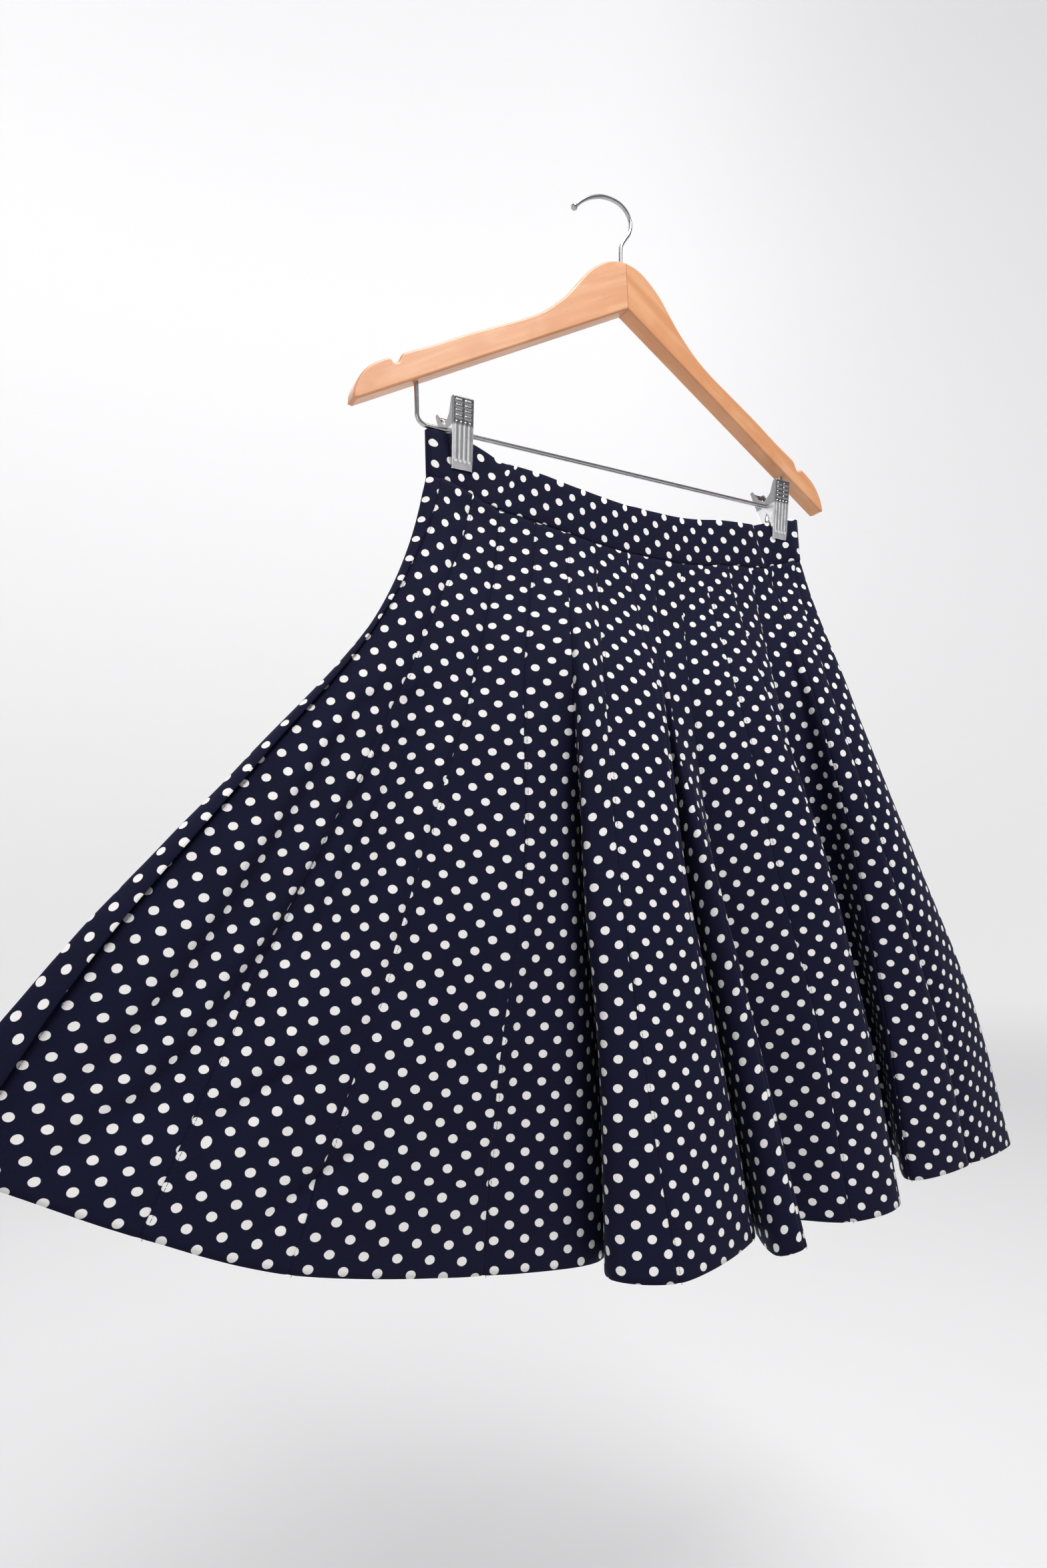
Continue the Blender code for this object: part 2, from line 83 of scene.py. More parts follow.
@dataclass(frozen=True)
class Line:
    """A seam or fold of the skirt, from the waist seam down to the hem.

    Between the two it has a place (x, y) at each quarter of the way down.
    """
    name: str
    seam: bool
    waist: Place
    quarter: tuple[float, float]
    half: tuple[float, float]
    low: tuple[float, float]
    hem: Place


@dataclass(frozen=True)
class Crease:
    """A soft trough, or a ridge where its depth is negative, along places (x, z) on the front.

    It reaches further on one side than on the other, as cloth does that is pulled along it.
    """
    path: tuple[tuple[float, float], ...]
    depth: float
    left: float
    right: float


@dataclass(frozen=True)
class Dip:
    """A trough along a seam or fold, with its depths from the waist seam down to the hem."""
    line: str
    depths: tuple[float, float, float, float, float]
    left: float
    right: float


@dataclass(frozen=True)
class Repeat:
    """How the dots' repeat lies on a flat cut, in steps along the repeat's two diagonals.

    It starts from a place REPEAT_MIDDLE down the cut's middle, and goes on by so many steps over
    REPEAT_ACROSS and over REPEAT_DOWN. The bends and the twist are how unevenly it does that, as
    cloth does that is pulled, by the square of each way and by their product.
    """
    start: tuple[float, float]
    across: tuple[float, float]
    down: tuple[float, float]
    across_bend: tuple[float, float] = (0.0, 0.0)
    twist: tuple[float, float] = (0.0, 0.0)
    down_bend: tuple[float, float] = (0.0, 0.0)


@dataclass(frozen=True)
class Grip:
    """The middle of one clip on the bar, and how far its lip leans sideways."""
    side: Side
    x: float
    lean: float


GRIPS = (Grip(Side.LEFT, -144.5, 2.2), Grip(Side.RIGHT, 161.5, 3.0))
PINCH_REACH = 21.0
PINCH_FADE = 10.0

FRONT = (
    Line("f01", True, (-159, 7, -165), (-205, 0), (-288, -6), (-372, -8), (-440, -2, -579)),
    Line("f02", True, (-135, 8, -172.5), (-182, -8), (-239, -13), (-298, -12), (-352, -11, -624)),
    Line("f03", True, (-116, 4, -182), (-147, -15), (-191, -22), (-233, -24), (-276, -16, -657)),
    Line("f04", True, (-90, -1, -188), (-118, -26), (-128, -30), (-146, -22), (-154, -12, -686)),
    Line("f04_lip", False, (-74, -2, -191), (-98, -33), (-89, -28), (-81, -22), (-75, -16, -694)),
    Line("f05", True, (-65, -3, -193), (-86, -36), (-66, -9), (-51, 2), (-48, 6, -696)),
    Line("f05_fold", False, (-55, -4, -195), (-85, -44), (-88, -47), (-85, -52), (-92, -60, -687)),
    Line("f06", True, (-40, -4, -197), (-60, -38), (-68, -54), (-63, -64), (-56, -78, -691)),
    Line("f07", True, (-11, -4, -200), (-14, -38), (-15, -54), (3, -58), (24, -58, -688)),
    Line("f07_fold", False, (1, -4, -200), (-4, -31), (8, -24), (34, -20), (57, -18, -694)),
    Line("f07_lip", False, (8, -3, -200), (-1, -34), (3, -50), (19, -60), (31, -74, -695)),
    Line("f08", True, (15, -3, -200), (-1, -31), (9, -57), (30, -68), (44, -84, -690)),
    Line("f09", True, (43, -1, -199), (26, -28), (38, -32), (66, -30), (86, -28, -696)),
    Line("f10", True, (69, 1, -196), (69, -33), (84, -44), (110, -50), (124, -52, -698)),
    Line("f11", True, (97, 3, -191), (100, -34), (129, -50), (156, -52), (177, -52, -695)),
    Line("f12", True, (125, 5, -188), (124, -20), (154, -8), (196, 2), (212, 6, -684)),
    Line("f12_fold", False, (139, 7, -186), (147, -19), (181, -9), (216, -2), (240, 3, -681)),
    Line("f13", True, (152, 9, -182), (150, -31), (174, -37), (190, -41), (203, -41, -685)),
    Line("f14", True, (180, 8.4, -173), (174, -30), (196, -52), (240, -52), (275, -46, -684)),
)
RIGHT_EDGE = Line("right", False, (191, 12.7, -170), (205, -18), (247, -32), (308, -32),
                  (349.5, -28, -682))
LEFT_EDGE = Line("left", False, (-168.5, 12.7, -165), (-206, 8), (-292, 5), (-384, 3),
                 (-465, 4, -570))

CREASES = (
    Crease(((-222, -331), (-252, -375), (-276, -415), (-306, -460), (-334, -498), (-357, -524),
            (-390, -548)), 9.5, 5.0, 16.0),
    Crease(((-196, -330), (-215, -370), (-233, -399), (-254, -435), (-277, -472), (-303, -504),
            (-324, -530), (-351, -555), (-384, -574)), 11.0, 5.0, 17.0),
    Crease(((-200, -353), (-207, -383), (-227, -420), (-248, -458), (-264, -488), (-275, -515)),
           8.5, 4.5, 13.0),
    Crease(((-159, -333), (-184, -378), (-203, -420), (-225, -475), (-250, -534), (-280, -565)),
           -7.0, 11.0, 15.0),
    Crease(((-116, -340), (-124, -446), (-142, -530), (-149, -591), (-166, -640)),
           -6.0, 11.0, 10.0),
    Crease(((-226, -585), (-234, -594), (-252, -605), (-272, -616), (-290, -629)), 6.0, 4.0, 9.0),
    Crease(((-246, -534), (-256, -542), (-287, -556), (-312, -570)), 6.5, 4.5, 11.0),
    Crease(((-263, -337), (-291, -367), (-321, -401), (-351, -436), (-372, -463), (-398, -490)),
           -3.6, 10.0, 8.0),
)

DIPS = (
    Dip("f01", (0.0, 3.5, 7.0, 8.0, 6.0), 3.5, 15.0),
    Dip("f02", (0.5, 2.2, 1.6, 0.6, 0.0), 6.0, 9.0),
    Dip("f03", (0.5, 1.6, 1.0, 0.4, 0.0), 6.0, 9.0),
    Dip("f04", (0.4, 1.0, 1.6, 1.6, 1.2), 9.0, 12.0),
    Dip("f04_lip", (0.0, 3.6, 0.0, 0.0, 0.0), 12.0, 8.0),
    Dip("f06", (0.3, 1.6, 0.6, 0.0, 0.0), 7.0, 9.0),
    Dip("f09", (0.3, 3.0, 5.0, 5.0, 3.0), 10.0, 8.0),
    Dip("f10", (0.3, 1.6, 1.0, 0.6, 0.4), 6.0, 8.0),
    Dip("f11", (0.3, 1.2, 0.0, 0.0, 0.0), 6.0, 8.0),
    Dip("f12", (0.6, 4.0, 4.0, 2.0, 0.0), 7.0, 7.0),
    Dip("f14", (0.8, 2.5, 4.0, 4.0, 3.0), 6.0, 10.0),
)

# The cloth was cut without matching, so each gore has its own.
REPEAT_STEP = 12.9
REPEAT_ACROSS = 50.0
REPEAT_MIDDLE = 250.0
REPEAT_DOWN = 250.0
REPEAT_TURN = 46.0
REPEATS = {
    "gore_front_01": Repeat((0.679, 0.965), (2.522, -3.034), (14.563, 13.679),
        (-0.044, 0.052), (-0.163, 0.135), (-0.326, 1.411)),
    "gore_front_02": Repeat((0.972, 0.676), (2.553, -2.854), (14.978, 14.385),
        (0.104, -0.006), (-0.044, 0.222), (-0.521, 0.511)),
    "gore_front_03": Repeat((0.056, 0.855), (2.385, -2.620), (14.986, 14.771),
        (0.052, 0.004), (0.107, 0.513), (-0.487, -0.223)),
    "gore_front_04": Repeat((0.310, 0.291), (2.719, -2.263), (13.313, 16.364),
        (-0.079, 0.110), (0.035, -0.142), (0.625, -1.412)),
    "gore_front_05": Repeat((0.142, 0.322), (3.023, -2.340), (12.593, 14.913),
        (0.047, -0.053), (-0.098, 0.051), (0.764, -0.313)),
    "gore_front_06": Repeat((0.452, 0.949), (3.020, -2.336), (14.839, 15.275),
        (0.126, 0.057), (0.017, 0.375), (-1.272, 0.984)),
    "gore_front_07": Repeat((0.707, 0.400), (2.040, -3.317), (16.031, 11.089),
        (0.046, 0.153), (0.083, -0.167), (-0.410, 0.415)),
    "gore_front_08": Repeat((0.489, 0.227), (2.160, -2.899), (14.968, 13.767),
        (0.021, -0.017), (0.370, -0.218), (0.384, 0.376)),
    "gore_front_09": Repeat((0.041, 0.107), (2.678, -2.553), (13.877, 15.443),
        (0.167, -0.094), (-0.025, 0.128), (0.309, -1.117)),
    "gore_front_10": Repeat((0.139, 0.100), (2.565, -2.480), (15.552, 13.743),
        (-0.029, -0.017), (-0.167, 0.225), (0.311, -1.245)),
    "gore_front_12": Repeat((0.346, 0.889), (2.448, -2.794), (15.192, 14.484),
        (0.151, 0.043), (0.034, -0.256), (0.982, 0.195)),
    "gore_front_13": Repeat((0.717, 0.993), (2.693, -2.476), (13.977, 14.012),
        (0.070, 0.088), (-0.246, 0.629), (0.826, -0.835)),
    "gore_side_right": Repeat((0.918, 0.546), (2.729, -2.821), (14.219, 14.274),
        (0.029, -0.031), (-0.036, -0.051), (0.144, -0.360)),
    "gore_side_left": Repeat((0.381, 0.661), (2.409, -3.198), (14.731, 12.577),
        (-0.167, 0.348), (0.116, -0.214), (-0.560, -0.482)),
    "waistband_front": Repeat((0.564, 0.369), (2.848, -2.521), (17.393, 15.672),
        (-0.067, 0.026)),
}

ARM_TOP = (
    (0.0, 39.6), (8.0, 39.0), (16.0, 36.6), (25.0, 31.2), (35.0, 22.6), (44.0, 11.4),
    (53.0, 0.0), (62.0, -9.2), (75.0, -20.4), (90.0, -29.8), (112.0, -41.0), (140.0, -55.4),
    (165.0, -69.4), (182.0, -78.0), (186.6, -80.8), (190.2, -88.0), (193.0, -88.4),
    (195.6, -86.0), (204.0, -90.0), (211.5, -95.8), (217.2, -103.6), (221.0, -112.8),
    (221.8, -119.4),
)
ARM_END = (218.6, -120.2)
HOOK_PATH = (
    (0.0, 18.0), (0.0, 50.0), (1.4, 58.6), (5.4, 65.6), (9.8, 72.4), (11.6, 81.4), (8.6, 90.0),
    (2.2, 95.0), (-6.0, 96.45), (-15.0, 95.6), (-23.0, 92.6), (-30.0, 88.6), (-36.0, 83.8),
    (-41.0, 78.6),
)


def to_world(points: np.ndarray | Sequence) -> np.ndarray:
    """Moves hanger millimetres to frame metres.

    Args:
        points: places as an array whose last axis is x, y, z.
    Returns:
        The same places in the frame.
    """
    return (np.asarray(points, float) - HANG_POINT) * MM


def unit(vectors: np.ndarray) -> np.ndarray:
    """The same directions at length 1."""
    return vectors / np.maximum(np.linalg.norm(vectors, axis=-1, keepdims=True), 1e-9)


def lengths_along(points: np.ndarray) -> np.ndarray:
    """How far along its path each point lies; the paths run along the last axis but one."""
    steps = np.linalg.norm(np.diff(points, axis=-2), axis=-1)
    return np.concatenate([np.zeros((*steps.shape[:-1], 1)), np.cumsum(steps, axis=-1)], axis=-1)


def bell(away: np.ndarray, reach: np.ndarray | float) -> np.ndarray:
    """1 at 0, fading smoothly to 0 past the reach."""
    return np.exp(-(away / reach) ** 2)


def toned(colour: Sequence[float], factor: float) -> tuple[float, ...]:
    """A colour made lighter or darker."""
    return tuple(c * factor for c in colour[:3]) + (1.0,)


def add_object(name: str, data: bpy.types.ID) -> bpy.types.Object:
    """Adds an object to the scene, at the frame's origin."""
    obj = bpy.data.objects.new(name, data)
    bpy.context.scene.collection.objects.link(obj)
    return obj


def stand_for(piece: bpy.types.Object, node: str) -> None:
    """Puts a piece on the body in place of a CAD node."""
    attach(piece, BODY)
    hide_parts(node)


def catmull(p0: np.ndarray, p1: np.ndarray, p2: np.ndarray, p3: np.ndarray,
            u: np.ndarray) -> np.ndarray:
    """Points between p1 and p2 on centripetal Catmull-Rom curves.

    Args:
        p0, p1, p2, p3: control points, arrays of shape (..., 3).
        u: shares from 0 to 1, shape (n,).
    Returns:
        Points of shape (..., n, 3).
    """
    def step(a: np.ndarray, b: np.ndarray) -> np.ndarray:
        return np.maximum(np.linalg.norm(b - a, axis=-1), 1e-6)[..., None, None] ** 0.5
    t1 = step(p0, p1)
    t2 = t1 + step(p1, p2)
    t3 = t2 + step(p2, p3)
    q0, q1, q2, q3 = (p[..., None, :] for p in (p0, p1, p2, p3))
    t = t1 + u[:, None] * (t2 - t1)
    a1 = (t1 - t) / t1 * q0 + t / t1 * q1
    a2 = (t2 - t) / (t2 - t1) * q1 + (t - t1) / (t2 - t1) * q2
    a3 = (t3 - t) / (t3 - t2) * q2 + (t - t2) / (t3 - t2) * q3
    b1 = (t2 - t) / t2 * a1 + t / t2 * a2
    b2 = (t3 - t) / (t3 - t1) * a2 + (t - t1) / (t3 - t1) * a3
    return (t2 - t) / (t2 - t1) * b1 + (t - t1) / (t2 - t1) * b2


def smooth_path(points: Sequence[Sequence[float]], steps: int) -> np.ndarray:
    """Open smooth curve through all points.

    Args:
        points: the places that the curve passes.
        steps: how many pieces each stretch is cut into.
    Returns:
        The curve's points, shape (n, 3).
    """
    pts = np.array(points, float)
    pts = np.vstack([2 * pts[0] - pts[1], pts, 2 * pts[-1] - pts[-2]])
    u = np.arange(steps) / steps
    runs = [catmull(*pts[i - 1:i + 3], u) for i in range(1, len(pts) - 2)]
    return np.vstack(runs + [pts[-2][None]])


def build_mesh(name: str, places: np.ndarray, faces: Iterable[Sequence[int]]) -> bpy.types.Object:
    """Makes a smooth-shaded mesh object at the frame's origin.

    Args:
        name: the piece's name.
        places: points in hanger millimetres, shape (n, 3).
        faces: corner numbers of each face.
    Returns:
        The linked object.
    """
    mesh = bpy.data.meshes.new(name)
    mesh.from_pydata(to_world(places).tolist(), [], [list(f) for f in faces])
    mesh.shade_smooth()
    return add_object(name, mesh)


def grid_faces(rows: int, columns: int, start: int = 0, flip: bool = False) -> np.ndarray:
    """Quads of a grid whose points run row by row.

    Args:
        rows, columns: the grid's counts of points.
        start: number of its first point.
        flip: turns the faces round.
    Returns:
        Corner numbers, shape (n, 4).
    """
    r, c = np.meshgrid(np.arange(rows - 1), np.arange(columns - 1), indexing="ij")
    a = (start + r * columns + c).ravel()
    quads = np.stack([a, a + columns, a + columns + 1, a + 1], axis=1)
    return quads[:, ::-1] if flip else quads


def tube(name: str, path: np.ndarray, radii: np.ndarray, sides: int) -> bpy.types.Object:
    """Closed round wire along a path in an upright plane.

    Args:
        name: the piece's name.
        path: points along the wire's middle, shape (n, 3).
        radii: the wire's radius at each point.
        sides: how many sides the wire has.
    Returns:
        The wire's object.
    """
    along = unit(np.gradient(path, axis=0))
    across = np.stack([-along[:, 2], np.zeros(len(path)), along[:, 0]], axis=1)
    angle = 2 * math.pi * np.arange(sides) / sides
    ring = (across[:, None] * np.cos(angle)[:, None]
            + np.array((0, 1, 0)) * np.sin(angle)[:, None])
    points = (path[:, None] + radii[:, None, None] * ring).reshape(-1, 3)
    faces = []
    for i in range(len(path) - 1):
        for k in range(sides):
            j = (k + 1) % sides
            faces.append((i * sides + k, i * sides + j, (i + 1) * sides + j, (i + 1) * sides + k))
    faces.append(list(range(sides))[::-1])
    faces.append([(len(path) - 1) * sides + k for k in range(sides)])
    return build_mesh(name, points, faces)


def pinch(x: np.ndarray) -> np.ndarray:
    """1 where a clip presses the cloth flat, fading to 0 beside it."""
    near = np.min([np.abs(x - grip.x) for grip in GRIPS], axis=0)
    return np.clip((PINCH_REACH - near) / PINCH_FADE, 0.0, 1.0)


class Tree:
    """Adds and wires nodes in a shader or geometry tree."""

    def __init__(self, tree: bpy.types.NodeTree) -> None:
        """Keeps the tree that is being built."""
        self.tree = tree

    def add(self, kind: str, inputs: dict | None = None, **settings) -> bpy.types.Node:
        """Adds one node.

        Args:
            kind: Blender's node type.
            inputs: values or output sockets for its inputs, by name or number.
            settings: the node's own properties.
        Returns:
            The new node.
        """
        node = self.tree.nodes.new(kind)
        for key, value in settings.items():
            setattr(node, key, value)
        self.feed(node, inputs or {})
        return node

    def out(self, kind: str, inputs: dict | None = None, **settings) -> Socket:
        """Adds one node and returns its first output."""
        return self.add(kind, inputs, **settings).outputs[0]

    def feed(self, node: bpy.types.Node, inputs: dict) -> None:
        """Sets or links a node's inputs, by name or number."""
        for key, value in inputs.items():
            if isinstance(value, Socket):
                self.tree.links.new(value, node.inputs[key])
            else:
                node.inputs[key].default_value = value

    def math(self, operation: str, *values) -> Socket:
        """Adds a Math node and returns its result."""
        return self.out("ShaderNodeMath", dict(enumerate(values)), operation=operation)

    def vector(self, operation: str, inputs: dict) -> Socket:
        """Adds a Vector Math node and returns its result."""
        return self.out("ShaderNodeVectorMath", inputs, operation=operation)

    def mix(self, factor, a, b) -> Socket:
        """Mixes two colours and returns the result."""
        return self.add("ShaderNodeMix", {0: factor, 6: a, 7: b}, data_type="RGBA").outputs[2]

    def noise(self, place: Socket, scale: float, detail: float = 2.0,
              distortion: float = 0.0, output: int = 0) -> Socket:
        """Adds a noise texture and returns its strength, or its colour with output 1."""
        return self.add("ShaderNodeTexNoise", {"Vector": place, "Scale": scale, "Detail": detail,
                                               "Distortion": distortion}).outputs[output]

    def bump(self, height: Socket, strength: float, distance: float) -> Socket:
        """Adds a bump from a height and returns its normal."""
        return self.out("ShaderNodeBump", {"Height": height, "Strength": strength,
                                           "Distance": distance})

    def mapping(self, place: Socket, inputs: dict) -> Socket:
        """Adds a Mapping node and returns the mapped place."""
        return self.out("ShaderNodeMapping", {0: place} | inputs)

    def split(self, place: Socket) -> bpy.types.NodeOutputs:
        """A place's x, y and z."""
        return self.add("ShaderNodeSeparateXYZ", {0: place}).outputs

    def ramp(self, value: Socket, low: float, high: float) -> Socket:
        """Takes a value from low..high smoothly to 0..1."""
        return self.out("ShaderNodeMapRange", {0: value, 1: low, 2: high},
                        interpolation_type="SMOOTHSTEP")


def shader(name: str) -> tuple[bpy.types.Material, Tree, bpy.types.Node]:
    """Starts a node material.

    Args:
        name: the material's name.
    Returns:
        The material, its tree and its Principled node.
    """
    material = bpy.data.materials.new(name)
    material.use_nodes = True
    return material, Tree(material.node_tree), material.node_tree.nodes["Principled BSDF"]


@dataclass(frozen=True)
class ClothFinish:
    """Brushed navy cotton twill with small cream dots in a staggered square repeat."""
    name: str
    navy: Colour = (0.0050, 0.0053, 0.0205, 1.0)
    cream: Colour = (0.90, 0.88, 0.86, 1.0)
    stretch: tuple[float, float] = (1.0, 1.0)
    step: float = REPEAT_STEP * MM
    dot: float = 0.00271
    blur: float = 0.00012
    wobble: float = 0.0004
    wobble_scale: float = 330.0
    dot_strength: float = 1.0
    twill: float = 0.0006
    twill_height: float = 0.25
    fade_scale: float = 22.0
    fibre_scale: float = 1500.0
    faded: float = 1.18
    fluffy: float = 2.1
    worn: float = 0.9
    relief: float = 0.35
    relief_depth: float = 0.0002
    roughness: float = 0.82
    specular: float = 0.12
    sheen: float = 0.04
    sheen_roughness: float = 0.45
    sheen_tint: Colour = (0.55, 0.58, 0.85, 1.0)

    def dots(self, tree: Tree, place: Socket) -> Socket:
        """Mask of the dots.

        Args:
            tree: the material's tree.
            place: the place on the repeat, in metres along its two diagonals.
        Returns:
            1 on a dot and 0 beside it.
        """
        wobble = tree.noise(place, self.wobble_scale, 1.0, output=1)
        shift = tree.vector("SUBTRACT", {0: wobble, 1: (0.5, 0.5, 0.5)})
        small = tree.vector("SCALE", {0: shift, "Scale": self.wobble})
        parts = tree.split(tree.vector("ADD", {0: place, 1: small}))
        offs = []
        for axis in (0, 1):
            step = tree.math("ADD", tree.math("DIVIDE", parts[axis], self.step), 0.5)
            offs.append(tree.math("MULTIPLY", tree.math("SUBTRACT", tree.math("FRACT", step), 0.5),
                                  self.step * math.sqrt(0.5)))
        along = tree.math("MULTIPLY", tree.math("SUBTRACT", *offs), self.stretch[0])
        upright = tree.math("MULTIPLY", tree.math("ADD", *offs), self.stretch[1])
        far = tree.math("SQRT", tree.math("ADD", tree.math("MULTIPLY", along, along),
                                          tree.math("MULTIPLY", upright, upright)))
        return tree.ramp(far, self.dot + self.blur, self.dot - self.blur)

    def build(self) -> bpy.types.Material:
        """Builds the material."""
        material, tree, principled = shader(self.name)
        place = tree.out("ShaderNodeUVMap", uv_map="cut")
        dots = self.dots(tree, place)
        parts = tree.split(place)
        fade = tree.noise(place, self.fade_scale, 4.0)
        fibre = tree.noise(place, self.fibre_scale, 3.0)
        diagonal = tree.math("ADD", parts[0], parts[1])
        twill = tree.math("SINE", tree.math("MULTIPLY", diagonal, 2 * math.pi / self.twill))
        navy = tree.mix(tree.ramp(fade, 0.3, 0.7), self.navy, toned(self.navy, self.faded))
        navy = tree.mix(tree.ramp(fibre, 0.45, 0.85), navy, toned(self.navy, self.fluffy))
        cream = tree.mix(tree.ramp(fibre, 0.3, 0.7), toned(self.cream, self.worn), self.cream)
        strength = tree.math("MULTIPLY", dots, self.dot_strength)
        height = tree.math("ADD", tree.math("MULTIPLY", twill, self.twill_height), fibre)
        tree.feed(principled, {
            "Base Color": tree.mix(strength, navy, cream), "Roughness": self.roughness,
            "Normal": tree.bump(height, self.relief, self.relief_depth),
            "Specular IOR Level": self.specular, "Sheen Weight": self.sheen,
            "Sheen Roughness": self.sheen_roughness, "Sheen Tint": self.sheen_tint})
        return material


@dataclass(frozen=True)
class ThreadFinish:
    """Matt navy sewing thread."""
    name: str = "navy_thread"
    colour: Colour = (0.0055, 0.006, 0.019, 1.0)
    ply_scale: float = 2500.0
    lighter: float = 1.6
    roughness: float = 0.7
    specular: float = 0.2

    def build(self) -> bpy.types.Material:
        """Builds the material."""
        material, tree, principled = shader(self.name)
        place = tree.add("ShaderNodeTexCoord").outputs["Object"]
        ply = tree.noise(place, self.ply_scale)
        lit = toned(self.colour, self.lighter)
        tree.feed(principled, {"Base Color": tree.mix(ply, self.colour, lit),
                               "Roughness": self.roughness, "Specular IOR Level": self.specular})
        return material


@dataclass(frozen=True)
class BeechFinish:
    """Clear-lacquered orange beech, its grain along each arm."""
    name: str = "lacquered_beech"
    light: Colour = (0.76, 0.385, 0.20, 1.0)
    dark: Colour = (0.66, 0.29, 0.125, 1.0)
    fleck: Colour = (0.42, 0.16, 0.065, 1.0)
    slope: float = math.radians(29.0)
    arms_apart: float = 0.35
    grain_scale: Place = (9.0, 60.0, 130.0)
    ray_scale: Place = (140.0, 500.0, 900.0)
    patch_scale: float = 26.0
    flecked: float = 0.5
    relief: float = 0.12
    relief_depth: float = 0.0003
    roughness: float = 0.3
    rough_grain: float = 0.16
    coat: float = 0.35
    coat_roughness: float = 0.22

    def build(self) -> bpy.types.Material:
        """Builds the material."""
        material, tree, principled = shader(self.name)
        place = tree.add("ShaderNodeTexCoord").outputs["Object"]
        parts = tree.split(place)
        centred = tree.math("ADD", parts[0], HANG_POINT[0] * MM)
        mirrored = tree.math("ABSOLUTE", centred)
        side = tree.math("MULTIPLY", tree.math("SIGN", centred), self.arms_apart)
        depth = tree.math("ADD", parts[1], side)
        folded = tree.out("ShaderNodeCombineXYZ", {0: mirrored, 1: depth, 2: parts[2]})
        turned = tree.mapping(folded, {2: (0.0, -self.slope, 0.0)})
        grain = tree.noise(tree.mapping(turned, {3: self.grain_scale}), 1.0, 6.0, 0.4)
        patch = tree.noise(place, self.patch_scale, 3.0)
        rays = tree.noise(tree.mapping(turned, {3: self.ray_scale}), 1.0)
        colour = tree.mix(tree.ramp(grain, 0.35, 0.68), self.light, self.dark)
        warm = tree.mix(tree.ramp(patch, 0.42, 0.75), colour, self.dark)
        specks = tree.math("MULTIPLY", tree.ramp(rays, 0.66, 0.8), self.flecked)
        tree.feed(principled, {
            "Base Color": tree.mix(specks, warm, self.fleck),
            "Roughness": tree.math("MULTIPLY_ADD", grain, self.rough_grain, self.roughness),
            "Normal": tree.bump(grain, self.relief, self.relief_depth),
            "Coat Weight": self.coat, "Coat Roughness": self.coat_roughness})
        return material


@dataclass(frozen=True)
class SteelFinish:
    """Plated steel, from bright chrome to a dim drawn wire; above a given height its colour turns
    darker, a painted dark reflection.
    """
    name: str
    tone: float
    roughness: float
    painted_dark_above: float = 1.0
    dull_and_painted_dark: Colour = (0.34, 0.34, 0.35, 1.0)
    haze_scale: float = 140.0
    haze_tone: float = 0.78
    haze_rough: float = 0.1
    fine_scale: float = 900.0
    relief: float = 0.08
    relief_depth: float = 0.0001

    def build(self) -> bpy.types.Material:
        """Builds the material."""
        material, tree, principled = shader(self.name)
        place = tree.add("ShaderNodeTexCoord").outputs["Object"]
        haze = tree.noise(place, self.haze_scale, 5.0)
        fine = tree.noise(place, self.fine_scale)
        bright = (self.tone, self.tone, self.tone * 1.01, 1.0)
        colour = tree.mix(tree.ramp(haze, 0.45, 0.75), bright, toned(bright, self.haze_tone))
        # Above a given height the colour turns to a darker one: a painted dark reflection, not a
        # real finish of the steel.
        painted_dark_share = tree.ramp(tree.split(place)[2], self.painted_dark_above - MM, self.painted_dark_above + MM)
        tree.feed(principled, {
            "Base Color": tree.mix(painted_dark_share, colour, self.dull_and_painted_dark), "Metallic": 1.0,
            "Roughness": tree.math("MULTIPLY_ADD", haze, self.haze_rough, self.roughness),
            "Normal": tree.bump(fine, self.relief, self.relief_depth)})
        return material


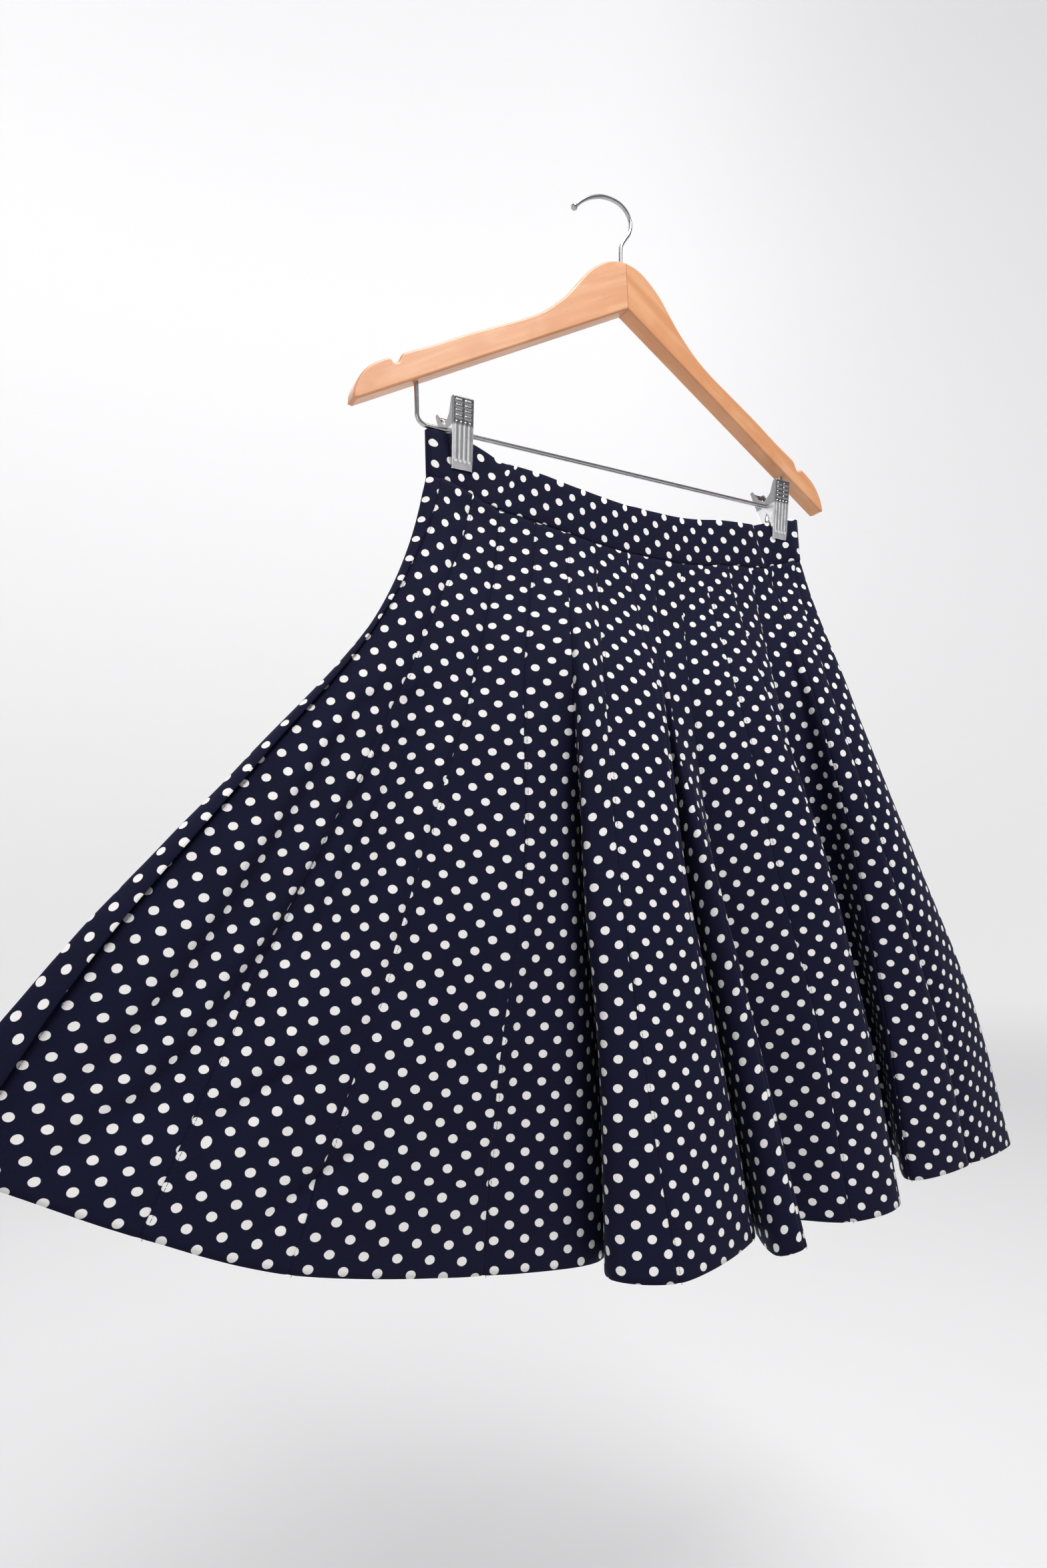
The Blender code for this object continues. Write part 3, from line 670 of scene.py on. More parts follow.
@dataclass
class Pattern:
    """Geometry Nodes trees for what repeats: runs of stitches and coils of wire."""
    stitch_sides: int = 6
    coil_sides: int = 8
    coil_steps: int = 20

    def tree(self, name: str, inputs: dict[str, object]) -> Tree:
        """Starts a geometry tree with named inputs.

        Args:
            name: the tree's name.
            inputs: each input's name and default: a number, a place, or None for a material.
        Returns:
            The tree, with its sockets in place.
        """
        group = bpy.data.node_groups.new(name, "GeometryNodeTree")
        face = group.interface
        face.new_socket("Geometry", in_out="INPUT", socket_type="NodeSocketGeometry")
        kinds = {float: "Float", tuple: "Vector", type(None): "Material"}
        for label, default in inputs.items():
            kind = "NodeSocket" + kinds[type(default)]
            socket = face.new_socket(label, in_out="INPUT", socket_type=kind)
            if default is not None:
                socket.default_value = default
        face.new_socket("Geometry", in_out="OUTPUT", socket_type="NodeSocketGeometry")
        return Tree(group)

    def stitches(self) -> bpy.types.NodeTree:
        """Short lengths of thread set along every edge of a mesh of edges."""
        tree = self.tree("stitch_run", {"Pitch": 0.003, "Length": 0.002, "Thickness": 0.0004,
                                        "Thread": None})
        given = tree.add("NodeGroupInput").outputs
        run = tree.out("GeometryNodeMeshToCurve", {0: given["Geometry"]})
        spaced = tree.out("GeometryNodeResampleCurve", {"Curve": run, "Length": given["Pitch"]},
                          mode="LENGTH")
        along = tree.out("GeometryNodeInputTangent")
        turned = tree.out("FunctionNodeAlignRotationToVector", {"Vector": along}, axis="Z")
        radius = tree.math("MULTIPLY", given["Thickness"], 0.5)
        thread = tree.out("GeometryNodeMeshCylinder", {
            "Vertices": self.stitch_sides, "Radius": radius, "Depth": given["Length"]})
        placed = tree.out("GeometryNodeInstanceOnPoints", {
            "Points": spaced, "Instance": thread, "Rotation": turned})
        return self.close(tree, placed, given["Thread"])

    def coil(self) -> bpy.types.NodeTree:
        """A coil of wire round an axis along X."""
        tree = self.tree("coil_spring", {"Middle": (0.0, 0.0, 0.0), "Turns": 5.0,
                                         "Radius": 0.0025, "Span": 0.01, "Wire": 0.0005,
                                         "Steel": None})
        given = tree.add("NodeGroupInput").outputs
        spiral = tree.out("GeometryNodeCurveSpiral", {
            "Resolution": self.coil_steps, "Rotations": given["Turns"],
            "Start Radius": given["Radius"], "End Radius": given["Radius"],
            "Height": given["Span"]})
        ring = tree.out("GeometryNodeCurvePrimitiveCircle", {
            "Resolution": self.coil_sides, "Radius": given["Wire"]})
        swept = tree.out("GeometryNodeCurveToMesh", {
            "Curve": spiral, "Profile Curve": ring, "Fill Caps": True})
        back = tree.out("ShaderNodeCombineXYZ", {2: tree.math("MULTIPLY", given["Span"], -0.5)})
        centred = tree.out("GeometryNodeTransform", {"Geometry": swept, "Translation": back})
        laid = tree.out("GeometryNodeTransform", {
            "Geometry": centred, "Rotation": (0.0, math.pi / 2, 0.0),
            "Translation": given["Middle"]})
        return self.close(tree, laid, given["Steel"])

    def close(self, tree: Tree, geometry: Socket, finish: Socket) -> bpy.types.NodeTree:
        """Realizes the instances, sets the material and joins the group's output.

        Args:
            tree: the tree being built.
            geometry: what it makes.
            finish: the material input.
        Returns:
            The finished tree.
        """
        real = tree.out("GeometryNodeRealizeInstances", {0: geometry})
        dressed = tree.out("GeometryNodeSetMaterial", {"Geometry": real, "Material": finish})
        tree.add("NodeGroupOutput", {0: dressed})
        return tree.tree

    def run(self, name: str, tree: bpy.types.NodeTree, start: bpy.types.Mesh,
            values: dict[str, object]) -> bpy.types.Object:
        """Evaluates a tree on a mesh and keeps the result as a plain mesh object.

        Args:
            name: the piece's name.
            tree: the geometry tree.
            start: the mesh that it works on.
            values: its inputs by their plain names.
        Returns:
            The finished object.
        """
        holder = add_object(name + "_start", start)
        modifier = holder.modifiers.new("pattern", "NODES")
        modifier.node_group = tree
        names = {item.name: item.identifier for item in tree.interface.items_tree
                 if item.in_out == "INPUT"}
        for label, value in values.items():
            modifier[names[label]] = value
        depsgraph = bpy.context.evaluated_depsgraph_get()
        mesh = bpy.data.meshes.new_from_object(holder.evaluated_get(depsgraph))
        bpy.data.objects.remove(holder)
        mesh.shade_smooth()
        return add_object(name, mesh)


@dataclass
class GoreCut:
    """One gore on the form: its columns in the skirt's ring and its flat cut."""
    name: str
    columns: list[int]
    flat: np.ndarray | None = None
    width: float = 0.0
    length: float = 0.0
    area: float = 0.0


@dataclass
class SkirtForm:
    """The skirt's hanging shape, as rings from the waist seam to the hem."""
    levels: int = 124
    substeps: int = 16
    inner_columns: int = 15
    fold_columns: int = 14
    seam_offsets: tuple[float, ...] = (0.0, 0.9, 2.0, 4.2)
    band_height: float = 37.5
    band_top: float = -129.8
    back_gores: int = 14
    back_rest: float = 23.0
    back_bow: float = 8.0
    end_bow: float = 3.6
    back_opens: float = 0.25
    edge_round: float = 30.0
    back_fold: float = 9.0
    taut_x: float = -190.0
    taut_fade: float = 60.0
    pinch_front: float = 11.1
    pinch_back: float = 14.3
    pinch_drop: float = 0.06
    narrow: float = 20.0
    narrow_dip: float = 25.0
    top_fade: float = 0.03
    groove: float = 0.6
    groove_reach: float = 1.3
    allowance: float = 0.3
    allowance_middle: float = 5.0
    allowance_reach: float = 3.2
    puff: float = 0.9
    puff_width: float = 14.0
    puff_power: float = 0.7
    puff_middle: float = 0.12
    puff_reach: float = 0.2
    crease_end: float = 0.05
    deepest: float = 8.5
    uneven: float = 0.8
    uneven_grains: tuple[tuple[float, float, float, float], ...] = (
        (46.0, 90.0, 1.0, 0.0), (17.0, 34.0, 0.4, 7.0))

    def __post_init__(self) -> None:
        """Works the rings out once."""
        self.t = np.arange(self.levels) / (self.levels - 1)
        self.knots = self.ring_knots(self.t)
        self.ring = self.ring_curve(self.knots, self.t)
        self.cuts: list[GoreCut] = []
        self.grid, self.seam_gap = self.resample()
        self.normals = self.outward(self.grid)
        self.relief()
        self.normals = self.outward(self.grid)
        self.normals[0, :, 2] = 0.0
        self.normals[0] = unit(self.normals[0])
        for cut in self.cuts:
            self.unroll(cut)

    def line_at(self, line: Line, t: np.ndarray) -> np.ndarray:
        """A seam's or fold's places.

        Args:
            line: the seam or fold.
            t: shares of the way from the waist seam to the hem.
        Returns:
            Its places, shape (len(t), 3).
        """
        drop = line.hem[2] - line.waist[2]
        stations = [line.waist]
        for k, spot in enumerate((line.quarter, line.half, line.low), 1):
            stations.append((*spot, line.waist[2] + drop * k / 4))
        stations.append(line.hem)
        pts = np.array(stations, float)
        above = pts[0] * (1, 1, 2) - pts[1] * (0, 0, 1)
        pts = np.vstack([above, pts, 2 * pts[-1] - pts[-2]])
        out = np.zeros((len(t), 3))
        for i, share in enumerate(t):
            k = min(int(share * 4), 3)
            out[i] = catmull(*pts[k:k + 4], np.array([share * 4 - k]))[0]
        return out

    def back_waist(self, x: float) -> float:
        """Depth of the back waistband at x, bowed away between the clips."""
        first, last = (grip.x for grip in GRIPS)
        inner = (x - first) / (last - first)
        if 0.0 < inner < 1.0:
            return self.pinch_back + self.back_bow * math.sin(math.pi * inner)
        return self.pinch_back + self.end_bow

    def ring_knots(self, t: np.ndarray) -> np.ndarray:
        """Knots of the ring at every level, shape (levels, knots, 3)."""
        front = [self.line_at(line, t) for line in FRONT]
        right = self.line_at(RIGHT_EDGE, t)
        left = self.line_at(LEFT_EDGE, t)
        count = 2 * self.back_gores
        back = np.zeros((count - 1, len(t), 3))
        for i, share in enumerate(t):
            order = sorted((tuple(line[i]) for line in front), key=lambda p: p[0])
            front_x = [p[0] for p in order]
            front_z = [p[2] for p in order]
            opened = min(1.0, share / self.back_opens)
            for k in range(1, count):
                x = right[i, 0] + (left[i, 0] - right[i, 0]) * k / count
                bend = 0.0
                for edge in (right[i], left[i]):
                    near = math.exp(-abs(edge[0] - x) / self.edge_round)
                    bend += (self.back_rest - edge[1]) * near
                y = self.back_waist(x) * (1 - opened) + (self.back_rest - bend) * opened
                if k % 2 == 0:
                    slack = min(1.0, max(0.0, (x - self.taut_x) / self.taut_fade))
                    y -= self.back_fold * slack * share
                back[k - 1, i] = (x, y, np.interp(x, front_x, front_z))
        return np.stack([*front, right, *back, left], axis=1)

    def ring_curve(self, knots: np.ndarray, t: np.ndarray) -> np.ndarray:
        """Smooth closed rings through the knots, shape (levels, knots, substeps, 3)."""
        u = np.arange(self.substeps) / self.substeps
        before, after, later = (np.roll(knots, k, axis=1) for k in (1, -1, -2))
        ring = catmull(before, knots, after, later, u)
        hold = np.maximum(0.0, 1.0 - t / self.pinch_drop)[:, None, None]
        front = np.zeros(ring.shape[1:3], bool)
        front[:len(FRONT)] = True
        front[len(FRONT), 0] = True
        front[-1, 1:] = True
        flat = np.where(front, self.pinch_front, self.pinch_back)
        share = pinch(ring[..., 0]) * hold
        ring[..., 1] += (flat - ring[..., 1]) * share
        return ring

    def resample(self) -> tuple[np.ndarray, np.ndarray]:
        """Cuts the rings into gores, with close columns beside every seam.

        Returns:
            The grid of places, (levels, columns, 3), and each column's distance from its seams.
        """
        seams = [i for i, line in enumerate(FRONT) if line.seam]
        first_back = len(FRONT) + 1
        seams += [first_back + k for k in range(0, 2 * self.back_gores - 1, 2)]
        total = self.knots.shape[1]
        fronts = sum(line.seam for line in FRONT) - 1
        names = [f"gore_front_{i + 1:02d}" for i in range(fronts)] + ["gore_side_right"]
        names += [f"gore_back_{i + 1:02d}" for i in range(self.back_gores - 1)] + ["gore_side_left"]
        offsets = np.array(self.seam_offsets)
        lines = {line.name: i for i, line in enumerate(FRONT)}
        columns, gaps = [], []
        for name, start, end in zip(names, seams, seams[1:] + [seams[0] + total]):
            picked = [k % total for k in range(start, end)]
            run = self.ring[:, picked].reshape(self.levels, -1, 3)
            run = np.concatenate([run, self.ring[:, end % total, 0][:, None]], axis=1)
            arc = lengths_along(run)
            folded = len(picked) > 1 and "gore_back" not in name
            inner = self.inner_columns + folded * self.fold_columns
            mine = []
            for i in range(self.levels):
                width = arc[i, -1]
                near = offsets * min(1.0, width / self.narrow)
                middle = np.linspace(near[-1], width - near[-1], inner + 2)[1:-1]
                want = np.concatenate([near, middle, (width - near)[::-1]])
                spot = [np.interp(want, arc[i], run[i, :, a]) for a in range(3)]
                for dip in DIPS:
                    place = (lines[dip.line] - start) * self.substeps
                    if 0 <= place < run.shape[1]:
                        off = want - arc[i, place]
                        reach = np.where(off < 0, dip.left, dip.right)
                        reach = reach * min(1.0, width / self.narrow_dip)
                        depth = np.interp(self.t[i] * 4, range(5), dip.depths)
                        spot[1] = spot[1] + depth * bell(off, reach)
                mine.append(spot + [want])
            mine = np.array(mine)
            first = sum(c.shape[1] for c in columns)
            self.cuts.append(GoreCut(name, list(range(first, first + mine.shape[2]))))
            columns.append(mine[:, :3].transpose(0, 2, 1)[:, :-1])
            width = mine[:, 3, -1:]
            gaps.append(np.minimum(mine[:, 3], width - mine[:, 3])[:, :-1])
        grid = np.concatenate(columns, axis=1)
        for cut in self.cuts:
            cut.columns = [c % grid.shape[1] for c in cut.columns]
        return grid, np.concatenate(gaps, axis=1)

    @staticmethod
    def outward(grid: np.ndarray) -> np.ndarray:
        """Outward unit normals of a closed ring grid."""
        across = np.roll(grid, -1, axis=1) - np.roll(grid, 1, axis=1)
        return unit(np.cross(np.gradient(grid, axis=0), across))

    def relief(self) -> None:
        """Adds creases, seam grooves, pressed allowances and a soft unevenness."""
        rows, columns = self.grid.shape[:2]
        fade = np.clip(self.t / self.top_fade, 0, 1)[:, None]
        front = np.zeros(columns, bool)
        pulled = np.zeros(columns, bool)
        for cut in self.cuts:
            if "front" in cut.name:
                front[cut.columns] = True
                pulled[cut.columns] = cut.name < "gore_front_05"
        facing = np.clip(-self.normals[..., 1] * 2, 0, 1)
        for crease in CREASES:
            self.grid[..., 1] += pulled * facing * fade * self.crease_depth(crease)
        self.grid[..., 1] = np.where(front, np.minimum(self.grid[..., 1], self.deepest),
                                     self.grid[..., 1])
        normals = self.outward(self.grid)
        lift = -self.groove * bell(self.seam_gap, self.groove_reach)
        lift += self.allowance * bell(self.seam_gap - self.allowance_middle, self.allowance_reach)
        puffed = np.clip(self.seam_gap / self.puff_width, 0, 1) ** self.puff_power
        lift += self.puff * (puffed * bell(self.t - self.puff_middle, self.puff_reach)[:, None])
        for i in range(rows):
            for j in range(columns):
                x, y, z = self.grid[i, j]
                uneven = sum(share * noise.noise(Vector((x / wide, y / wide + shift, z / tall)))
                             for wide, tall, share, shift in self.uneven_grains)
                lift[i, j] += self.uneven * uneven * self.t[i] ** 0.5
        self.grid = self.grid + normals * (lift * fade)[..., None]

    def crease_depth(self, crease: Crease) -> np.ndarray:
        """How far one crease takes each point of the grid back."""
        flat = self.grid[..., (0, 2)]
        path = np.array(crease.path, float)
        lengths = lengths_along(path)
        best = np.full(flat.shape[:2], 1e9)
        along = np.zeros(flat.shape[:2])
        side = np.zeros(flat.shape[:2])
        for k, (a, b) in enumerate(zip(path, path[1:])):
            span = b - a
            share = np.clip(((flat - a) @ span) / (span @ span), 0, 1)
            away = flat - a - share[..., None] * span
            gap = np.linalg.norm(away, axis=2)
            nearer = gap < best
            best = np.where(nearer, gap, best)
            along = np.where(nearer, lengths[k] + share * np.linalg.norm(span), along)
            side = np.where(nearer, span[0] * away[..., 1] - span[1] * away[..., 0], side)
        reach = np.where(side < 0, crease.left, crease.right)
        share = np.clip(along / lengths[-1], self.crease_end, 1 - self.crease_end)
        ends = np.sin(np.pi * share) ** 0.5
        return crease.depth * bell(best, reach) * ends

    def unroll(self, cut: GoreCut) -> None:
        """Works out the flat cut of one gore, in metres, from its hanging shape."""
        grid = self.grid[:, cut.columns]
        normals = self.normals[:, cut.columns]
        middle = (grid[:, 0] + grid[:, -1]) / 2
        along = unit(np.gradient(middle, axis=0))[:, None]
        down = unit(along - (along * normals).sum(2)[..., None] * normals)
        step = np.diff(grid, axis=1)
        centre = grid.shape[1] // 2
        flat = []
        for way in (np.cross(down, normals), down):
            moves = (step * ((way[:, 1:] + way[:, :-1]) / 2)).sum(2)
            run = np.concatenate([np.zeros((len(grid), 1)), np.cumsum(moves, axis=1)], axis=1)
            flat.append(run - run[:, centre:centre + 1])
        drop = np.linalg.norm(np.diff(middle, axis=0), axis=1)
        length = lengths_along(middle)
        flat[1] = flat[1] + length[:, None]
        cut.flat = np.stack(flat, axis=2) * MM
        across = np.linalg.norm(step, axis=2).sum(axis=1) * MM
        cut.width = float(across.max())
        cut.length = float(length[-1]) * MM
        cut.area = float(((across[1:] + across[:-1]) / 2 * drop * MM).sum())


@dataclass
class Gores:
    """The cloth shells of all gores, each on its own flat cut."""
    form: SkirtForm
    cloth: bpy.types.Material
    reverse: bpy.types.Material
    thick: float = 0.8
    hem_turn: float = 19.0
    hem_extra: float = 0.7
    hem_step: float = 1.5
    seed: int = 11

    def build(self) -> None:
        """Builds and dresses every gore."""
        rng = random.Random(self.seed)
        for cut in self.form.cuts:
            spare = self.plain_repeat(rng.random(), rng.random(), rng.uniform(-2.0, 2.0))
            self.gore(cut, REPEATS.get(cut.name, spare))

    @staticmethod
    def plain_repeat(first: float, second: float, turn: float) -> Repeat:
        """An even repeat for a gore that the photo doesn't show.

        Args:
            first, second: where it starts along its two diagonals, in steps.
            turn: how many degrees it is turned on the cut.
        Returns:
            The repeat.
        """
        angle = math.radians(REPEAT_TURN + turn)
        across, down = REPEAT_ACROSS / REPEAT_STEP, REPEAT_DOWN / REPEAT_STEP
        return Repeat((first, second), (math.cos(angle) * across, -math.sin(angle) * across),
                      (math.sin(angle) * down, math.cos(angle) * down))

    @staticmethod
    def on_repeat(flat: np.ndarray, repeat: Repeat) -> np.ndarray:
        """Takes places on a flat cut to places on the dots' repeat.

        Args:
            flat: places in metres, shape (..., 2).
            repeat: how the repeat lies on the cut.
        Returns:
            Metres along the repeat's two diagonals.
        """
        u = flat[..., 0] / MM / REPEAT_ACROSS
        v = (flat[..., 1] / MM - REPEAT_MIDDLE) / REPEAT_DOWN
        terms = np.stack([np.ones_like(u), u, v, u * u, u * v, v * v], axis=-1)
        steps = terms @ np.array([repeat.start, repeat.across, repeat.down, repeat.across_bend,
                                  repeat.twist, repeat.down_bend])
        return steps * REPEAT_STEP * MM

    def gore(self, cut: GoreCut, repeat: Repeat) -> None:
        """One gore as a thin closed shell with a turned hem.

        Args:
            cut: the gore's columns and flat cut.
            repeat: how the dots' repeat lies on it.
        """
        grid = self.form.grid[:, cut.columns]
        normals = self.form.normals[:, cut.columns]
        rows, columns = grid.shape[:2]
        below = (cut.length / MM) * (1 - self.form.t)
        extra = self.hem_extra * np.clip((self.hem_turn - below) / self.hem_step, 0, 1)
        outer = grid + normals * self.thick / 2
        inner = grid - normals * (self.thick / 2 + extra)[:, None, None]
        count = rows * columns
        places = np.concatenate([outer.reshape(-1, 3), inner.reshape(-1, 3)])
        faces = [grid_faces(rows, columns), grid_faces(rows, columns, count, True)]
        index = np.arange(count).reshape(rows, columns)
        loops = ((index[:, 0], False), (index[:, -1], True), (index[0], True), (index[-1], False))
        for edge, flip in loops:
            rim = np.stack([edge[:-1], edge[:-1] + count, edge[1:] + count, edge[1:]], axis=1)
            faces.append(rim[:, ::-1] if flip else rim)
        quads = np.concatenate(faces)
        piece = build_mesh(cut.name + "_cloth", places, quads.tolist())
        piece.data.materials.append(self.cloth)
        piece.data.materials.append(self.reverse)
        outside = len(faces[0])
        reverse = np.zeros(len(quads), np.int32)
        reverse[outside:2 * outside] = 1
        piece.data.polygons.foreach_set("material_index", reverse)
        flat = np.tile(self.on_repeat(cut.flat, repeat).reshape(-1, 2), (2, 1))
        layer = piece.data.uv_layers.new(name="cut")
        layer.data.foreach_set("uv", flat[quads.ravel()].ravel())
        stand_for(piece, cut.name)
        LOG.info("%s: %.0f x %.0f mm", cut.name, cut.width / MM, cut.length / MM)


@dataclass(frozen=True)
class BandLay:
    """A band half's columns: way along it, seam places, directions up and out, heights."""
    along: np.ndarray
    base: np.ndarray
    rise: np.ndarray
    out: np.ndarray
    height: np.ndarray


@dataclass
class Waistband:
    """The contoured band, doubled, edge-stitched, standing just proud of the gores."""
    form: SkirtForm
    cloth: bpy.types.Material
    thick: float = 2.2
    gap: float = 0.3
    column_step: float = 3.0
    end_upright: float = 8.0
    end_held: float = 6.0
    end_thin: float = 4.0
    end_share: float = 0.35
    reverse_off: float = 400.0
    back_start: tuple[float, float] = (0.3, 0.6)
    stitch_proud: float = 0.12
    grooves: tuple[tuple[float, float], ...] = ((0.052, 0.8), (0.95, 0.82))
    profile: tuple[tuple[float, float], ...] = (
        (0.0, -0.2), (0.0, 0.75), (0.012, 1.05), (0.04, 1.1), (0.052, 0.8), (0.064, 1.05),
        (0.2, 1.12), (0.4, 1.15), (0.6, 1.15), (0.8, 1.12), (0.935, 1.05), (0.95, 0.82),
        (0.965, 1.02), (0.985, 0.98), (0.997, 0.7), (0.999, 0.25), (0.992, 0.02), (0.999, -0.25),
        (0.997, -0.7), (0.985, -1.0), (0.8, -1.1), (0.5, -1.1), (0.2, -1.1), (0.02, -1.05),
        (0.0, -0.8),
    )

    def halves(self) -> dict[str, np.ndarray]:
        """Places along the waist seam for the front and the back half."""
        ring = self.form.ring[0]
        right, left = len(FRONT), len(ring) - 1
        front = np.concatenate([ring[left].reshape(-1, 3), ring[:right].reshape(-1, 3),
                                ring[right, :1]])
        back = np.concatenate([ring[right:left].reshape(-1, 3), ring[left, :1]])
        return {"waistband_front": front, "waistband_back": back}

    def build(self) -> None:
        """Builds and dresses both halves."""
        for name in self.halves():
            self.half(name)

    def edge_lines(self, which: str) -> list[np.ndarray]:
        """Where the stitches run along the lower and upper edge of one half."""
        name = f"waistband_{which}"
        lay = self.lay(name)
        return [self.row(name, lay, share, off + self.stitch_proud)[2:-2]
                for share, off in self.grooves]

    def lay(self, name: str) -> BandLay:
        """Where one half's columns stand.

        Args:
            name: the CAD node that the half replaces.
        Returns:
            Its columns' places, directions and heights.
        """
        seam = self.halves()[name]
        arc = lengths_along(seam)
        count = int(arc[-1] / self.column_step) + 1
        want = np.linspace(0, arc[-1], count)
        base = np.stack([np.interp(want, arc, seam[:, a]) for a in range(3)], axis=1)
        run = np.gradient(base, axis=0)
        level = run.copy()
        level[:, 1] = 0.0
        rise = np.stack([-level[:, 2], np.zeros(count), level[:, 0]], axis=1)
        rise *= np.sign(rise[:, 2])[:, None]
        ends = np.minimum(want, arc[-1] - want)
        upright = np.clip(1 - ends / self.end_upright, 0, 1)[:, None]
        rise = unit(unit(rise) * (1 - upright) + np.array((0, 0, 1.0)) * upright)
        height = np.minimum(self.form.band_height,
                            (self.form.band_top - self.gap - base[:, 2]) / rise[:, 2])
        out = np.cross(rise, run)
        out[:, 2] = 0.0
        return BandLay(want, base, rise, unit(out), height)

    def row(self, name: str, lay: BandLay, share: float, off: float) -> np.ndarray:
        """One row of places at a share of the height, off the band's middle by some mm."""
        flat_y = self.form.pinch_front if "front" in name else self.form.pinch_back
        ends = np.minimum(lay.along, lay.along[-1] - lay.along)
        held = pinch(lay.base[:, 0]) * np.clip(ends / self.end_held, 0, 1)
        row = lay.base + lay.rise * (self.gap + lay.height * share)[:, None]
        row[:, 1] += (flat_y - row[:, 1]) * held
        thin = np.clip(self.end_share + ends / self.end_thin, 0, 1)[:, None]
        return row + lay.out * off * thin

    def half(self, name: str) -> None:
        """Builds the half of the band that replaces a CAD node."""
        lay = self.lay(name)
        count = len(lay.along)
        places, flats = [], []
        for share, off in self.profile:
            places.append(self.row(name, lay, share, off))
            up = lay.height * share + (off < 0) * self.reverse_off
            flats.append(np.stack([lay.along, up], axis=1))
        rows = len(places)
        points = np.concatenate(places)
        faces = [list(f) for f in grid_faces(rows, count)]
        last = (rows - 1) * count
        faces += [(last + c, c, c + 1, last + c + 1) for c in range(count - 1)]
        faces.append([r * count for r in range(rows)][::-1])
        faces.append([r * count + count - 1 for r in range(rows)])
        piece = build_mesh(name + "_cloth", points, faces)
        piece.data.materials.append(self.cloth)
        repeat = REPEATS.get(name, Gores.plain_repeat(*self.back_start, 0.0))
        flat = Gores.on_repeat(np.concatenate(flats) * MM, repeat)
        corners = np.concatenate([np.array(f) for f in faces])
        layer = piece.data.uv_layers.new(name="cut")
        layer.data.foreach_set("uv", flat[corners].ravel())
        stand_for(piece, name)


@dataclass
class EdgeStitching:
    """Lines of stitches beside every seam and along the waistband's edges."""
    form: SkirtForm
    band: Waistband
    pattern: Pattern
    thread: bpy.types.Material
    pitch: float = 3.1
    length: float = 2.3
    thickness: float = 0.34
    column: int = 2
    proud: float = 0.36

    def build(self) -> None:
        """Builds the stitches of the front and of the back."""
        tree = self.pattern.stitches()
        runs = {which: self.band.edge_lines(which) for which in ("front", "back")}
        for cut in self.form.cuts:
            which = "back" if "back" in cut.name or "left" in cut.name else "front"
            column = cut.columns[self.column]
            line = self.form.grid[2:, column] + self.form.normals[2:, column] * self.proud
            runs[which].append(line)
        for which, lines in runs.items():
            self.run(f"seam_stitches_{which}", tree, lines)

    def run(self, name: str, tree: bpy.types.NodeTree, lines: Sequence[np.ndarray]) -> None:
        """Sets stitches along some lines and joins them in one piece.

        Args:
            name: the piece's name.
            tree: the stitch tree.
            lines: places along each line.
        """
        edges, start = [], 0
        for line in lines:
            edges += [(start + i, start + i + 1) for i in range(len(line) - 1)]
            start += len(line)
        mesh = bpy.data.meshes.new(name + "_lines")
        mesh.from_pydata(to_world(np.concatenate(lines)).tolist(), edges, [])
        piece = self.pattern.run(name, tree, mesh, {
            "Pitch": self.pitch * MM, "Length": self.length * MM,
            "Thickness": self.thickness * MM, "Thread": self.thread})
        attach(piece, BODY)
        LOG.info("%s: %d lines", name, len(lines))


